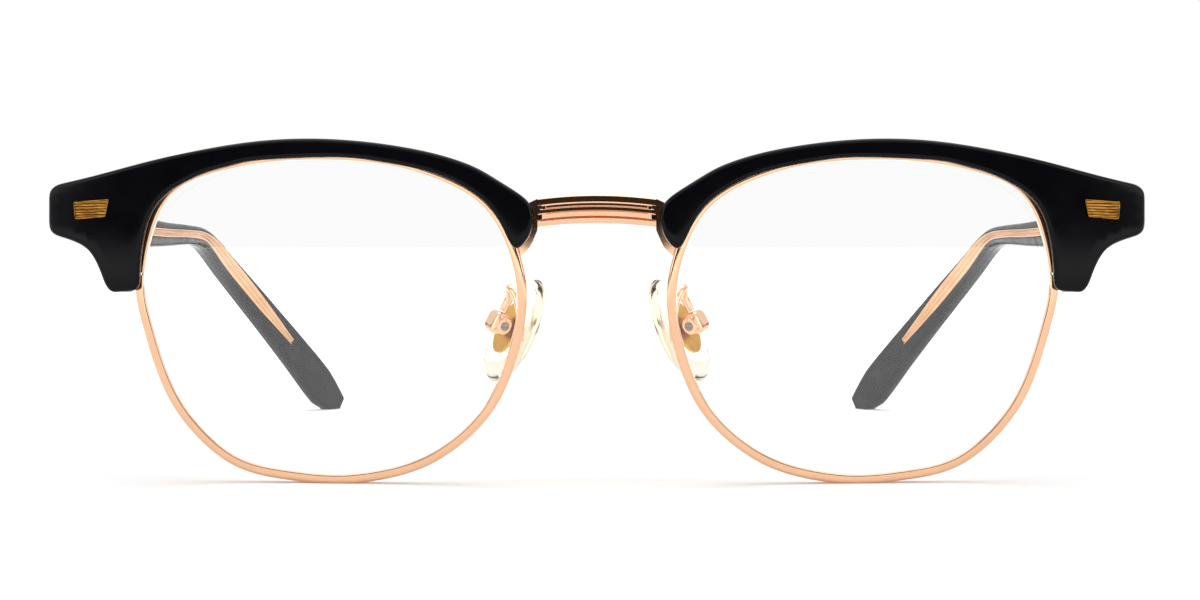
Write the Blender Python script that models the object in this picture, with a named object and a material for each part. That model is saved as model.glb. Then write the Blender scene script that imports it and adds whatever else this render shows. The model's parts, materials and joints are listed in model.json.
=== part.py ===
"""Browline eyeglasses, 49-19-140, lying open on a table: metal eyewires, plastic brows, laminated temples.

Millimetres inside, metres in the meshes. X is across the face, Y runs from the front back along the
temples, Z is up from the table. Sides are the wearer's: left is +X. Every left piece is drawn for +X
and its right twin is the same drawing mirrored in X. The origin ends up under the middle of the whole.
"""
import math

import bmesh
import bpy
from mathutils import Vector
from mathutils.geometry import delaunay_2d_cdt

MM = 0.001

# ---- overall sizes (mm) ----
FRONT_WIDTH = 142.0          # across the two endpieces
FRONT_HEIGHT = 44.0          # table to the top of the brow
TEMPLE_LENGTH = 128.6        # butt to the end of the tip, straight back along Y
BASE_RADIUS = 133.0          # face curve of the front
TILT = math.radians(4.0)     # pantoscopic tilt, bottom of the front tucked back

# ---- eyewire, lens, brow ----
RIM_WIDTH = 1.25
RIM_DEPTH = 2.4
GROOVE_DEPTH = 0.55
RIM_SLIT = 0.3
LENS_THICKNESS = 1.2
BROW_PROUD = 1.5             # how far the brow stands in front of the eyewire
BROW_BEVEL = 0.4
BRIDGE_BOW = 0.6             # how far the bridge bows forward in the middle
END_BACK_Y = 10.2            # flat back of the endpieces
PLAQUE_SINK = 0.5
PLAQUE_PROUD = 0.35

# ---- hinge and temple ----
PIN_X_IN = 5.3               # hinge axis, in from the side of the front
END_SCREW_IN = 3.3           # brow screw on the endpiece, in from the hinge axis
HINGE_Z = 35.3
KNUCKLE_RADIUS = 1.3
KNUCKLE_HEIGHT = 1.6
PIN_RADIUS = 0.7
BUTT_GAP = 0.2
TEMPLE_THICKNESS = 3.2
LINING_THICKNESS = 1.25
CORE_THICKNESS = 0.77
PLATE_THICKNESS = 0.6

# ---- nose pads ----
PAD_LENGTH = 14.5
PAD_WIDTH = 8.0
PAD_LEAN = math.radians(26)  # long axis off the vertical
PAD_SPLAY = math.radians(48) # pad plane off the plane of the front
PAD_PLACE = (10.7, 10.4, 19.4)
PIVOT_RISE = 3.2             # pad's middle to the rocking screw
BOX = (3.0, 2.6, 2.2)        # along the pad, along the screw, along the pad's normal
ARM_RADIUS = 0.55

# ---- clearances ----
FIT = 0.1                    # between faces that lie on each other
BORE_FIT = 0.06              # all round a screw or pin

# ---- outlines of the front on its design grid, 142 wide and 44 high ----
GRID = (142.0, 44.0)
APERTURE = [(58.1, 27.5), (57.0, 19.4), (53.4, 10.1), (46.8, 3.5), (38.4, 1.42), (30.0, 1.32), (21.2, 3.9),
            (14.1, 10.3), (10.5, 20.0), (10.7, 28.2), (14.7, 35.7), (23.6, 40.0), (34.5, 41.35), (46.0, 40.4),
            (54.6, 36.8)]
BROW_TOP = [(8.0, 34.6), (8.9, 36.3), (12.3, 38.6), (16.1, 40.7), (21.8, 42.4), (29.4, 43.6), (37.1, 44.0),
            (44.9, 43.5), (54.8, 41.8), (64.9, 39.4), (70.1, 38.3)]
BROW_SIDE = [(71.0, 37.5), (71.0, 32.6), (70.5, 31.9)]
BROW_UNDER = [(67.8, 31.1), (66.0, 30.3), (64.9, 29.1), (64.0, 27.4), (63.3, 25.5)]
BROW_TAIL = [(62.5, 24.4), (59.1, 24.65)]
BROW_INNER = [(58.5, 25.4), (58.4, 28.3), (57.9, 31.6), (56.8, 34.8), (54.7, 37.2), (50.8, 39.3), (46.8, 40.5),
              (42.9, 41.25), (33.2, 41.6), (27.5, 41.05), (21.8, 39.9), (17.8, 38.4), (14.2, 36.0), (12.3, 33.5),
              (11.2, 31.2)]
BROW_NOSE = [(10.3, 30.0), (9.2, 30.2), (8.2, 31.5), (7.85, 33.1)]
PLAQUE = [(67.4, 36.1), (62.5, 36.4), (63.0, 34.1), (67.2, 33.8)]

# temple, by distance back from the front plane: y, inner face x, top z, height, thickness, top drawn in
TEMPLE_ROWS = [(10.4, 67.8, 38.0, 6.5, 3.2, 0), (15.0, 67.8, 37.9, 6.5, 3.2, 0), (20.0, 67.8, 37.6, 6.4, 3.2, 0),
               (30.0, 67.6, 36.8, 6.1, 3.2, 0), (48.0, 67.0, 34.9, 4.8, 3.1, 0), (66.0, 66.3, 33.9, 3.8, 3.0, 0),
               (86.0, 65.5, 33.4, 3.1, 3.0, 0), (97.0, 65.1, 32.9, 3.2, 3.0, 0), (104.0, 64.3, 31.3, 3.7, 3.0, 0),
               (110.0, 62.6, 28.2, 4.2, 3.0, 0), (116.0, 60.1, 24.2, 4.6, 3.0, 0), (122.0, 56.8, 19.2, 5.1, 2.9, 0),
               (129.0, 52.6, 12.9, 5.8, 2.8, 0), (135.0, 48.9, 7.1, 6.4, 2.7, 0), (137.4, 47.4, 4.25, 5.6, 2.5, 0.3),
               (139.0, 46.5, 3.0, 3.6, 2.1, 1.0)]
# core wire, by the same distance: y, height
CORE_ROWS = [(14.0, 2.6), (20.0, 2.6), (24.0, 1.5), (60.0, 1.4), (96.0, 1.5), (106.0, 2.7), (118.0, 2.5), (127.0, 1.1)]

ROSE = ("rose_gold_plating", (0.86, 0.62, 0.47), 0.18, 1.0)
STEEL = ("nickel_screw_steel", (0.55, 0.54, 0.52), 0.3, 1.0)
GOLD = ("pale_gold_plating", (0.80, 0.58, 0.26), 0.25, 1.0)
ANTIQUE = ("antique_gold_plaque", (0.42, 0.24, 0.06), 0.35, 1.0)
BLACK = ("black_acetate", (0.006, 0.006, 0.007), 0.12, 0.0)
CRYSTAL = ("smoke_crystal_acetate", (0.10, 0.10, 0.11), 0.1, 0.0)
SILICONE = ("clear_silicone", (0.85, 0.82, 0.68), 0.2, 0.0)
GLASS = ("demo_lens", (0.92, 0.94, 0.95), 0.03, 0.0)


# ---------------------------------------------------------------- frame of the drawing
def on_grid(x, z):
    """A point of the design grid at the size asked for."""
    return x * FRONT_WIDTH / GRID[0], z * FRONT_HEIGHT / GRID[1]


def side_x():
    return FRONT_WIDTH / 2


def front_y(x, z):
    """Depth of the eyewires' front: two face curves about 22 mm off the middle, and the tilt."""
    cx, cz = on_grid(22.0, 21.0)
    return ((abs(x) - cx) ** 2 + (z - cz) ** 2) / (2 * BASE_RADIUS) + (cz - z) * math.tan(TILT)


def ease(t):
    t = min(max(t, 0.0), 1.0)
    return t * t * (3 - 2 * t)


def brow_back(x, z):
    """Back of the brow: it follows the front, then thickens to the flat back of the endpiece."""
    start, full = on_grid(56.0, 0)[0], on_grid(61.5, 0)[0]
    mix = ease((abs(x) - start) / (full - start))
    return (front_y(x, z) + RIM_DEPTH) * (1 - mix) + END_BACK_Y * mix


def through(points, per, closed=False):
    """A smooth curve (Catmull-Rom) through plane points, with per steps between neighbours."""
    count = len(points)
    out = []
    for i in range(count if closed else count - 1):
        if closed:
            p = [points[(i + k) % count] for k in (-1, 0, 1, 2)]
        else:
            p = [points[min(max(i + k, 0), count - 1)] for k in (-1, 0, 1, 2)]
        for step in range(per):
            t = step / per
            out.append(tuple(0.5 * (2 * b + (c - a) * t + (2 * a - 5 * b + 4 * c - d) * t * t
                                    + (3 * b - a - 3 * c + d) * t ** 3) for a, b, c, d in zip(*p)))
    return out if closed else out + [tuple(points[-1])]


def at_y(rows, y):
    """Reads a table by its first column with a smooth cubic between rows."""
    i = max(k for k in range(len(rows) - 1) if rows[k][0] <= y or k == 0)
    t = (y - rows[i][0]) / (rows[i + 1][0] - rows[i][0])
    result = []
    for c in range(1, len(rows[0])):
        def slope(k):
            a, b = max(k - 1, 0), min(k + 1, len(rows) - 1)
            return (rows[b][c] - rows[a][c]) / (rows[b][0] - rows[a][0])
        step = rows[i + 1][0] - rows[i][0]
        p0, p1, m0, m1 = rows[i][c], rows[i + 1][c], slope(i) * step, slope(i + 1) * step
        result.append((2 * t ** 3 - 3 * t * t + 1) * p0 + (t ** 3 - 2 * t * t + t) * m0
                      + (3 * t * t - 2 * t ** 3) * p1 + (t ** 3 - t * t) * m1)
    return result


def offset(outline, distance):
    """A closed plane outline moved outwards by distance (inwards if negative); it runs either way round."""
    count = len(outline)
    area = sum(outline[i - 1][0] * outline[i][1] - outline[i][0] * outline[i - 1][1] for i in range(count))
    sign = 1 if area > 0 else -1
    out = []
    for i in range(count):
        (ax, az), (bx, bz), (cx, cz) = outline[i - 1], outline[i], outline[(i + 1) % count]
        n1 = Vector((bz - az, ax - bx)).normalized()
        n2 = Vector((cz - bz, bx - cx)).normalized()
        mean = (n1 + n2).normalized()
        reach = distance * sign / max(mean.dot(n1), 0.6)
        out.append((bx + mean.x * reach, bz + mean.y * reach))
    return out


def aperture():
    return [on_grid(*p) for p in through(APERTURE, 3, closed=True)]


# ---------------------------------------------------------------- meshes and objects
def loft(rings, caps=(None, None)):
    """Skins a row of rings of points and caps both ends. A cap may give its triangles and points of its own."""
    bm = bmesh.new()
    rows = [[bm.verts.new(Vector(p) * MM) for p in ring] for ring in rings]
    for a, b in zip(rows, rows[1:]):
        for i in range(len(a)):
            j = (i + 1) % len(a)
            bm.faces.new((a[i], a[j], b[j], b[i]))
    for row, cap in ((rows[0], caps[0]), (rows[-1], caps[1])):
        corners, own = cap or ([range(len(row))], [])
        row = row + [bm.verts.new(Vector(p) * MM) for p in own]
        for corner in corners:
            bm.faces.new([row[i] for i in corner])
    bmesh.ops.triangulate(bm, faces=bm.faces[:])
    bmesh.ops.recalc_face_normals(bm, faces=bm.faces[:])
    return bm


def flat_triangles(outline, inner=()):
    """Triangles that fill a plane outline, as even as its points and the inner ones allow."""
    count = len(outline)
    edges = [(i, (i + 1) % count) for i in range(count)]
    points = [Vector(p) for p in list(outline) + list(inner)]
    made = delaunay_2d_cdt(points, edges, [list(range(count))], 1, 1e-6)
    return [[made[3][i][0] for i in face] for face in made[2]]


def prism(ring, place, ends):
    """A plane outline carried from one end to the other by place(a, b, end)."""
    cap = (flat_triangles(ring), [])
    return loft([[place(a, b, end) for a, b in ring] for end in ends], (cap, cap))


def sheet(outline, faces, inner=()):
    """A plate of the given outline. faces is a list of (inset, depth function), from front to back.

    The inner points, inside the outline, let both faces follow a bend.
    """
    rings, flats = [], []
    for inset, depth in faces:
        ring = offset(outline, -inset) if inset else outline
        flats.append(ring)
        rings.append([(x, depth(x, z), z) for x, z in ring])
    caps = [(flat_triangles(flats[k], inner), [(x, faces[k][1](x, z), z) for x, z in inner]) for k in (0, -1)]
    return loft(rings, caps)


def round_bar(origin, axis, profile, sides=16):
    """A turned piece: profile is a list of (radius, distance along the axis)."""
    axis = Vector(axis).normalized()
    across = axis.orthogonal().normalized()
    other = axis.cross(across)
    rings = []
    for radius, along in profile:
        centre = Vector(origin) + axis * along
        rings.append([centre + (across * math.cos(a) + other * math.sin(a)) * radius
                      for a in (2 * math.pi * k / sides for k in range(sides))])
    return loft(rings)


def block(origin, axes, low, high):
    """A box between two corners given in three axes from an origin."""
    u, v, w = (Vector(a).normalized() for a in axes)
    ring = [(low[0], low[1]), (high[0], low[1]), (high[0], high[1]), (low[0], high[1])]
    return loft([[Vector(origin) + u * a + v * b + w * c for a, b in ring] for c in (low[2], high[2])])


def tube(points, radius, sides=10):
    """A round wire through points in space."""
    rings = []
    across = None
    for i, point in enumerate(points):
        ahead = (Vector(points[min(i + 1, len(points) - 1)]) - Vector(points[max(i - 1, 0)])).normalized()
        across = ahead.orthogonal() if across is None else across - ahead * across.dot(ahead)
        across = across.normalized()
        other = ahead.cross(across)
        rings.append([Vector(point) + (across * math.cos(a) + other * math.sin(a)) * radius
                      for a in (2 * math.pi * k / sides for k in range(sides))])
    return loft(rings)


def material(spec):
    name, colour, rough, metal = spec
    found = bpy.data.materials.get(name)
    if found:
        return found
    made = bpy.data.materials.new(name)
    made.use_nodes = True
    shader = made.node_tree.nodes["Principled BSDF"]
    shader.inputs["Base Color"].default_value = (*colour, 1.0)
    shader.inputs["Roughness"].default_value = rough
    shader.inputs["Metallic"].default_value = metal
    made.diffuse_color = (*colour, 1.0)
    return made


def put(name, bm, spec, side=1, parent=None, cutter=False):
    """Makes the object; side -1 mirrors it. Points are measured from the parent empty."""
    base = Vector(parent.location) if parent else Vector((0, 0, 0))
    for vert in bm.verts:
        vert.co.x *= side
        vert.co -= base
    bmesh.ops.recalc_face_normals(bm, faces=bm.faces[:])
    if bm.calc_volume(signed=True) < 0:
        bmesh.ops.reverse_faces(bm, faces=bm.faces[:])
    mesh = bpy.data.meshes.new(name)
    bm.to_mesh(mesh)
    bm.free()
    mesh.shade_smooth()
    mesh.set_sharp_from_angle(angle=math.radians(35))
    obj = bpy.data.objects.new(name, mesh)
    bpy.context.scene.collection.objects.link(obj)
    obj.parent = parent
    if cutter:
        obj.hide_render = True
        obj.display_type = "WIRE"
    else:
        mesh.materials.append(material(spec))
    return obj


def cut(target, bm, side=1, parent=None):
    """Cuts one shape out of an object with a Boolean modifier."""
    number = len(target.modifiers)
    tool = put(f"{target.name}_cut{number}", bm, None, side, parent, cutter=True)
    made = target.modifiers.new(f"cut{number}", "BOOLEAN")
    made.operation = "DIFFERENCE"
    made.solver = "EXACT"
    made.object = tool


def pivot(name, place):
    empty = bpy.data.objects.new(name, None)
    empty.location = Vector(place) * MM
    bpy.context.scene.collection.objects.link(empty)
    return empty


def screw(name, origin, axis, head_radius, head_height, radius, length, side=1, parent=None):
    """A slotted screw: origin is under its head, axis points out of the head."""
    axis = Vector(axis).normalized()
    bevel = 0.25 * head_height
    profile = [(radius * 0.7, -length), (radius, -length + 0.3), (radius, 0), (head_radius, 0),
               (head_radius, head_height - bevel), (head_radius - bevel, head_height)]
    obj = put(name, round_bar(origin, axis, profile), STEEL, side, parent)
    across = axis.orthogonal()
    slot = block(origin, (across, axis.cross(across), axis), (-0.14, -2 * head_radius, 0.55 * head_height),
                 (0.14, 2 * head_radius, 2 * head_height))
    cut(obj, slot, side, parent)
    return obj


# ---------------------------------------------------------------- the front
def rim(side, tag, master):
    path = aperture()
    start = min(range(len(path)), key=lambda i: abs(path[i][1] - on_grid(0, 26.7)[1]) - path[i][0])
    path = path[start:] + path[:start + 1]
    half = RIM_SLIT / 2
    mid = RIM_DEPTH / 2
    section = [(0, 0.25), (0.25, 0), (RIM_WIDTH - 0.35, 0), (RIM_WIDTH, 0.35), (RIM_WIDTH, RIM_DEPTH - 0.35),
               (RIM_WIDTH - 0.35, RIM_DEPTH), (0.25, RIM_DEPTH), (0, RIM_DEPTH - 0.25), (0, mid + 0.7),
               (GROOVE_DEPTH, mid), (0, mid - 0.7)]
    rails = {r: offset(path[:-1], r) for r, _ in section}
    rings = []
    for i in range(len(path)):
        shift = Vector((0, 0))
        if i in (0, len(path) - 1):
            other = Vector(path[1] if i == 0 else path[-2])
            shift = (other - Vector(path[i])).normalized() * half
        ring = []
        for r, depth in section:
            x, z = rails[r][i % (len(path) - 1)]
            x, z = x + shift.x, max(z + shift.y, 0.0)
            ring.append((x, front_y(x, z) + depth, z))
        rings.append(ring)
    put(f"{tag}_rim", loft(rings), ROSE, side, master)


def lens(side, tag, master):
    path = aperture()
    mid, half = RIM_DEPTH / 2, LENS_THICKNESS / 2
    centre = Vector((sum(p[0] for p in path) / len(path), sum(p[1] for p in path) / len(path)))
    edge = offset(path, -BORE_FIT)
    apex = offset(path, GROOVE_DEPTH - 1.3 * BORE_FIT)

    def ring(points, scale, depth):
        flat = [centre + (Vector(p) - centre) * scale for p in points]
        return [(p.x, front_y(p.x, p.y) + depth, p.y) for p in flat]

    rings = [ring(edge, s, mid - half) for s in (0.3, 0.65, 1)]
    rings += [ring(apex, 1, mid)] + [ring(edge, s, mid + half) for s in (1, 0.65, 0.3)]
    put(f"{tag}_lens", loft(rings), GLASS, side, master)


def brow_outline():
    points = through(BROW_TOP, 2) + BROW_SIDE + through(BROW_UNDER, 1) + BROW_TAIL
    points += through(BROW_INNER, 1) + BROW_NOSE
    return [on_grid(*p) for p in points]


def brow(side, tag, master):
    outline = brow_outline()
    front = -BROW_PROUD
    faces = [(BROW_BEVEL, lambda x, z: front_y(x, z) + front),
             (BROW_BEVEL * 0.3, lambda x, z: front_y(x, z) + front + BROW_BEVEL * 0.3),
             (0, lambda x, z: front_y(x, z) + front + BROW_BEVEL),
             (0, lambda x, z: brow_back(x, z) - 0.2), (0.2, brow_back)]
    bend = [on_grid(x, z) for x in (58.9, 60.1, 61.4, 62.6, 66.0) for z in (32.0, 34.2, 36.6, 38.6)]
    obj = put(f"{tag}_brow", sheet(outline, faces, bend), BLACK, side, master)
    # the step that sits over the front and the outside of the eyewire
    inner = offset(aperture(), 0) + offset(aperture(), -3)[::2] + offset(aperture(), -9)[::4]
    step = sheet(offset(aperture(), RIM_WIDTH + FIT),
                 [(0, lambda x, z: front_y(x, z) - FIT), (0, lambda x, z: front_y(x, z) + 20.0)], inner)
    cut(obj, step, side, master)
    # the thin tail in front of the closing blocks
    tail = [on_grid(x, z) for x, z in [(55, 22), (60, 22), (66, 22), (66, 29.4), (60, 29.4), (55, 29.4)]]
    cut(obj, sheet(tail, [(0, lambda x, z: front_y(x, z) - 3 * FIT), (0, lambda x, z: 21.0)]), side, master)
    # the bed of the plaque
    bed = offset(plaque_outline(), FIT)
    cut(obj, sheet(bed, [(0, lambda x, z: plaque_y(-3.0)(x, z)), (0, plaque_y(PLAQUE_SINK + FIT))]), side, master)
    for x, z in (on_grid(*NOSE_SCREW), end_screw_place()):
        hole = round_bar((x, brow_back(x, z) - 1.8, z), (0, 1, 0), [(0.5 + BORE_FIT, 0), (0.5 + BORE_FIT, 6)])
        cut(obj, hole, side, master)


NOSE_SCREW = (13.2, 37.4)    # brow screw on the nasal tab


def end_screw_place():
    """The brow screw on the endpiece stays clear of the hinge's leaf, whatever the width of the front."""
    return pin_x() - END_SCREW_IN, hinge_z()


def plaque_outline():
    return [on_grid(*p) for p in PLAQUE]


def plaque_y(depth):
    """Depth below the brow's front over the plaque."""
    return lambda x, z: front_y(x, z) - BROW_PROUD + depth


def plaque(side, tag, master):
    obj = put(f"{tag}_brow_plaque",
              sheet(plaque_outline(), [(0.15, plaque_y(-PLAQUE_PROUD)), (0, plaque_y(-PLAQUE_PROUD + 0.15)),
                                       (0, plaque_y(PLAQUE_SINK))]), ANTIQUE, side, master)
    (_, z0), (_, z1) = on_grid(0, 33.9), on_grid(0, 36.2)
    low, high = on_grid(61, 0)[0], on_grid(69, 0)[0]
    ribs = 6
    for k in range(1, ribs):
        z = z0 + (z1 - z0) * k / ribs
        outline = [(low, z - 0.09), (high, z - 0.09), (high, z + 0.09), (low, z + 0.09)]
        groove = sheet(outline, [(0, plaque_y(-2.0)), (0, plaque_y(-PLAQUE_PROUD + 0.18))])
        cut(obj, groove, side, master)


def bridge(master):
    """Cast bridge: two raised bars along its face, and a flat wing on the back of each eyewire."""
    back = RIM_DEPTH + FIT
    face = [(-0.3, 33.35), (-0.5, 33.6), (-0.5, 33.9), (-0.15, 34.05), (-0.65, 34.2), (-0.65, 34.75), (-0.15, 34.9),
            (-0.15, 35.4), (-0.5, 35.5), (-0.5, 35.9), (-0.15, 36.05), (0.5, 36.8)]
    rear = [(back + 0.5, 36.8), (back + 0.8, 36.5), (back + 0.8, 33.65), (back + 0.5, 33.35)]
    rows = [(x, -0.5, -0.5) for x in (0, 2.5, 5, 7, 7.5)]
    rows += [(7.6, back, -0.5), (8.6, back, -1.6), (9.8, back, -2.8), (11.0, back, -2.2)]
    rings = []
    for x, front, foot in [(-r[0], *r[1:]) for r in reversed(rows[1:])] + rows:
        gx = on_grid(abs(x), 0)[0] * (1 if x >= 0 else -1)
        drop = -0.65 * (x / 8.7) ** 2
        trim = 0.0 if abs(x) < 7.55 else -0.35 * (abs(x) - 7.6)
        ring = []
        for depth, z in face + rear:
            share = (z - 33.35) / 3.45
            gz = on_grid(0, 33.35)[1] + (z - 33.35) + drop + (foot + 0.5) * (1 - share) + trim * share
            if front > 0:
                ring.append((gx, front_y(gx, gz) + max(depth, front), gz))
            else:
                bow = BRIDGE_BOW * (1 - (x / 7.6) ** 2)
                ring.append((gx, front_y(on_grid(7.6, 0)[0], gz) + depth - bow, gz))
        rings.append(ring)
    put("bridge", loft(rings), ROSE, 1, master)


def closing_blocks(side, tag, master):
    """The split tube that clamps the eyewire round the lens, with its screw from below."""
    (x0, zlow), (x1, zhigh) = on_grid(58.0, 24.9), on_grid(58.0, 28.9)
    left = x0 + RIM_WIDTH + 2 * FIT
    right, gap = left + 2.9, RIM_SLIT / 2
    mid = on_grid(0, 26.75)[1]
    centre = ((left + right) / 2, (zlow + zhigh) / 2)
    y = front_y(*centre)
    for name, z0, z1 in (("lower", zlow, mid - gap), ("upper", mid + gap, zhigh)):
        ring = [(left, z0), (right, z0), (right, z1), (left, z1)]
        body = sheet(ring, [(0.25, lambda x, z: y + 0.3), (0, lambda x, z: y + 0.55),
                            (0, lambda x, z: y + RIM_DEPTH + 0.2), (0.25, lambda x, z: y + RIM_DEPTH + 0.45)])
        obj = put(f"{tag}_closing_block_{name}", body, ROSE, side, master)
        hole = round_bar((centre[0], y + 1.5, z0 - 2), (0, 0, 1), [(0.5 + BORE_FIT, 0), (0.5 + BORE_FIT, 6)])
        cut(obj, hole, side, master)
    screw(f"{tag}_closing_screw", (centre[0], y + 1.5, zlow - FIT), (0, 0, -1), 0.9, 0.6, 0.5, zhigh - zlow - 0.4,
          side, master)


def nose_tab(side, tag, master):
    x, z = on_grid(*NOSE_SCREW)
    y = front_y(x, z) + RIM_DEPTH + FIT
    ring = [(x + 1.35 * math.cos(a) + 0.15 * math.cos(a), z + 1.35 * math.sin(a))
            for a in (2 * math.pi * k / 16 for k in range(16))]
    low = max(front_y(*p) for p in ring) + RIM_DEPTH + FIT
    obj = put(f"{tag}_brow_tab", sheet(ring, [(0, lambda a, b: low), (0, lambda a, b: low + PLATE_THICKNESS)]),
              ROSE, side, master)
    cut(obj, round_bar((x, y - 2, z), (0, 1, 0), [(0.5 + BORE_FIT, 0), (0.5 + BORE_FIT, 6)]), side, master)
    screw(f"{tag}_brow_screw", (x, low + PLATE_THICKNESS + FIT, z), (0, 1, 0), 0.95, 0.5, 0.5, 2.2, side, master)


def end_plate(side, tag, master):
    """Strap from the eyewire's outer side over the brow's back to the hinge."""
    xs = [on_grid(x, 0)[0] for x in (58.9, 60.1, 61.4)] + [pin_x() + 1.9]
    z0, z1 = hinge_z() - 2.3, hinge_z() + 2.3
    rings = []
    for x in xs:
        y = max(brow_back(x, z0), brow_back(x, z1)) + FIT
        rings.append([(x, y, z0), (x, y, z1), (x, y + PLATE_THICKNESS, z1), (x, y + PLATE_THICKNESS, z0)])
    obj = put(f"{tag}_end_plate", loft(rings), ROSE, side, master)
    x, z = end_screw_place()
    cut(obj, round_bar((x, END_BACK_Y - 2, z), (0, 1, 0), [(0.5 + BORE_FIT, 0), (0.5 + BORE_FIT, 6)]), side, master)
    screw(f"{tag}_end_screw", (x, END_BACK_Y + 2 * FIT + PLATE_THICKNESS, z), (0, 1, 0), 0.9, 0.45, 0.5, 2.3,
          side, master)


# ---------------------------------------------------------------- hinges
def pin_x():
    return side_x() - PIN_X_IN


def hinge_z():
    return on_grid(0, HINGE_Z)[1]


def knuckle_rows():
    """Heights of the three knuckles, low to high, with a running gap between them."""
    pitch = KNUCKLE_HEIGHT + FIT
    return [(hinge_z() + (k - 0.5) * KNUCKLE_HEIGHT + (k) * (pitch - KNUCKLE_HEIGHT),
             hinge_z() + (k + 0.5) * KNUCKLE_HEIGHT + (k) * (pitch - KNUCKLE_HEIGHT)) for k in (-1, 0, 1)]


def pin_y():
    return END_BACK_Y + 3 * FIT + 2 * PLATE_THICKNESS + KNUCKLE_RADIUS


def front_hinge(side, tag, master):
    """Two knuckles on a leaf, brazed to the endpiece plate."""
    px, py, r = pin_x(), pin_y(), KNUCKLE_RADIUS
    y0 = END_BACK_Y + 2 * FIT + PLATE_THICKNESS
    y1 = y0 + PLATE_THICKNESS
    neck = 0.7 * r
    start = -math.acos(neck / r)
    ring = [(px - 1.8, y0), (px + 1.75, y0), (px + 1.75, y1), (px + neck, y1)]
    steps = 16
    for k in range(steps + 1):
        a = start + (math.pi - 2 * start) * k / steps
        ring.append((px + r * math.cos(a), py + r * math.sin(a)))
    ring += [(px - neck, y1), (px - 1.8, y1)]
    rows = knuckle_rows()
    z0, z1 = rows[0][0], rows[2][1]
    body = prism(ring, lambda x, y, z: (x, y, z), (z0, z1))
    obj = put(f"{tag}_front_hinge", body, ROSE, side, master)
    axes = ((1, 0, 0), (0, 1, 0), (0, 0, 1))
    slot = block((px, 0, 0), axes, (-r - 1, y1 - 0.03, rows[0][1]), (r + 1, py + r + 1, rows[2][0]))
    cut(obj, slot, side, master)
    bore = PIN_RADIUS + BORE_FIT
    cut(obj, round_bar((px, py, z0 - 1), (0, 0, 1), [(bore, 0), (bore, z1 - z0 + 2)]), side, master)


def temple_hinge(side, tag, axis):
    """The middle knuckle, its arm, and the leaf on the temple's inner face."""
    px, py, r = pin_x(), pin_y(), KNUCKLE_RADIUS
    leaf_out = inner_x(TEMPLE_ROWS[0][0]) - FIT
    leaf_in = leaf_out - PLATE_THICKNESS
    z0, z1 = knuckle_rows()[1]
    ring = []
    steps = 14
    for k in range(steps + 1):
        a = math.radians(60) + math.radians(290) * k / steps
        ring.append((px + r * math.cos(a), py + r * math.sin(a)))
    ring = [(leaf_in + 0.1, py + r * math.sin(math.radians(60)))] + ring + [(leaf_in + 0.1, py - 0.1)]
    knuckle = prism(ring, lambda x, y, z: (x, y, z), (z0, z1))
    obj = put(f"{tag}_temple_hinge", knuckle, ROSE, side, axis)
    axes = ((1, 0, 0), (0, 1, 0), (0, 0, 1))
    zc = hinge_z()
    leaf = block((0, 0, zc), axes, (leaf_in, py - 0.2, -1.7), (leaf_out, py + 7.2, 1.7))
    tool = put(f"{tag}_temple_hinge_leaf", leaf, None, side, axis, cutter=True)
    join = obj.modifiers.new("leaf", "BOOLEAN")
    join.operation, join.solver, join.object = "UNION", "EXACT", tool
    bore = PIN_RADIUS + BORE_FIT
    cut(obj, round_bar((px, py, z0 - 1), (0, 0, 1), [(bore, 0), (bore, z1 - z0 + 2)]), side, axis)
    low, high = knuckle_rows()[0][0], knuckle_rows()[2][1]
    screw(f"{tag}_hinge_screw", (px, py, high + FIT), (0, 0, 1), 1.1, 0.6, PIN_RADIUS, high - low + 0.3, side, axis)


# ---------------------------------------------------------------- temples
def temple_scale(y):
    """Distance along the design temple for a distance back at the length asked for; the butt is fixed."""
    first, last = TEMPLE_ROWS[0][0], TEMPLE_ROWS[-1][0]
    return first + (y - first) * (last - first) / TEMPLE_LENGTH


def inner_x(y):
    return at_y(TEMPLE_ROWS, max(y, TEMPLE_ROWS[0][0]))[0] + side_x() - GRID[0] / 2 - (TEMPLE_THICKNESS - 3.2)


def temple_row(design):
    """Place, inward and up directions, height, thickness and top inset of the temple at one design distance."""
    first, last = TEMPLE_ROWS[0][0], TEMPLE_ROWS[-1][0]
    stretch = TEMPLE_LENGTH / (last - first)
    rise = hinge_z() - HINGE_Z

    def place(d):
        x, z, height, thick, inset = at_y(TEMPLE_ROWS, d)
        y = END_BACK_Y + BUTT_GAP + (d - first) * stretch
        return Vector((inner_x(d), y, z + rise * (1 - ease((d - 96) / 40)))), height, thick, inset

    here, height, thick, inset = place(design)
    ahead = (place(min(design + 0.6, last))[0] - place(max(design - 0.6, first))[0]).normalized()
    if design < 20:
        ahead = Vector((0, 1, 0))
    inward = Vector((-ahead.y, ahead.x, 0)).normalized()
    up = ahead.cross(inward)
    return here, inward, up, height, thick + TEMPLE_THICKNESS - 3.2, inset


def temple_stations():
    drawn = [TEMPLE_ROWS[0][0], 15, 20, 26, 33, 41, 50, 60, 70, 80, 88, 94, 98, 101, 104, 107, 110, 113.5, 117,
             121, 125, 129, 133, 135.5, 137.4, TEMPLE_ROWS[-1][0]]
    return drawn


def temple_ring(design, section):
    """Points of a section given as (outward from the inner face, down from the top)."""
    here, inward, up, height, thick, inset = temple_row(design)
    ring = []
    for out, down in section(height, thick):
        point = here - inward * out - up * (down + inset)
        ring.append(Vector((point.x, point.y, max(point.z, 0.0))))
    return ring


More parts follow.
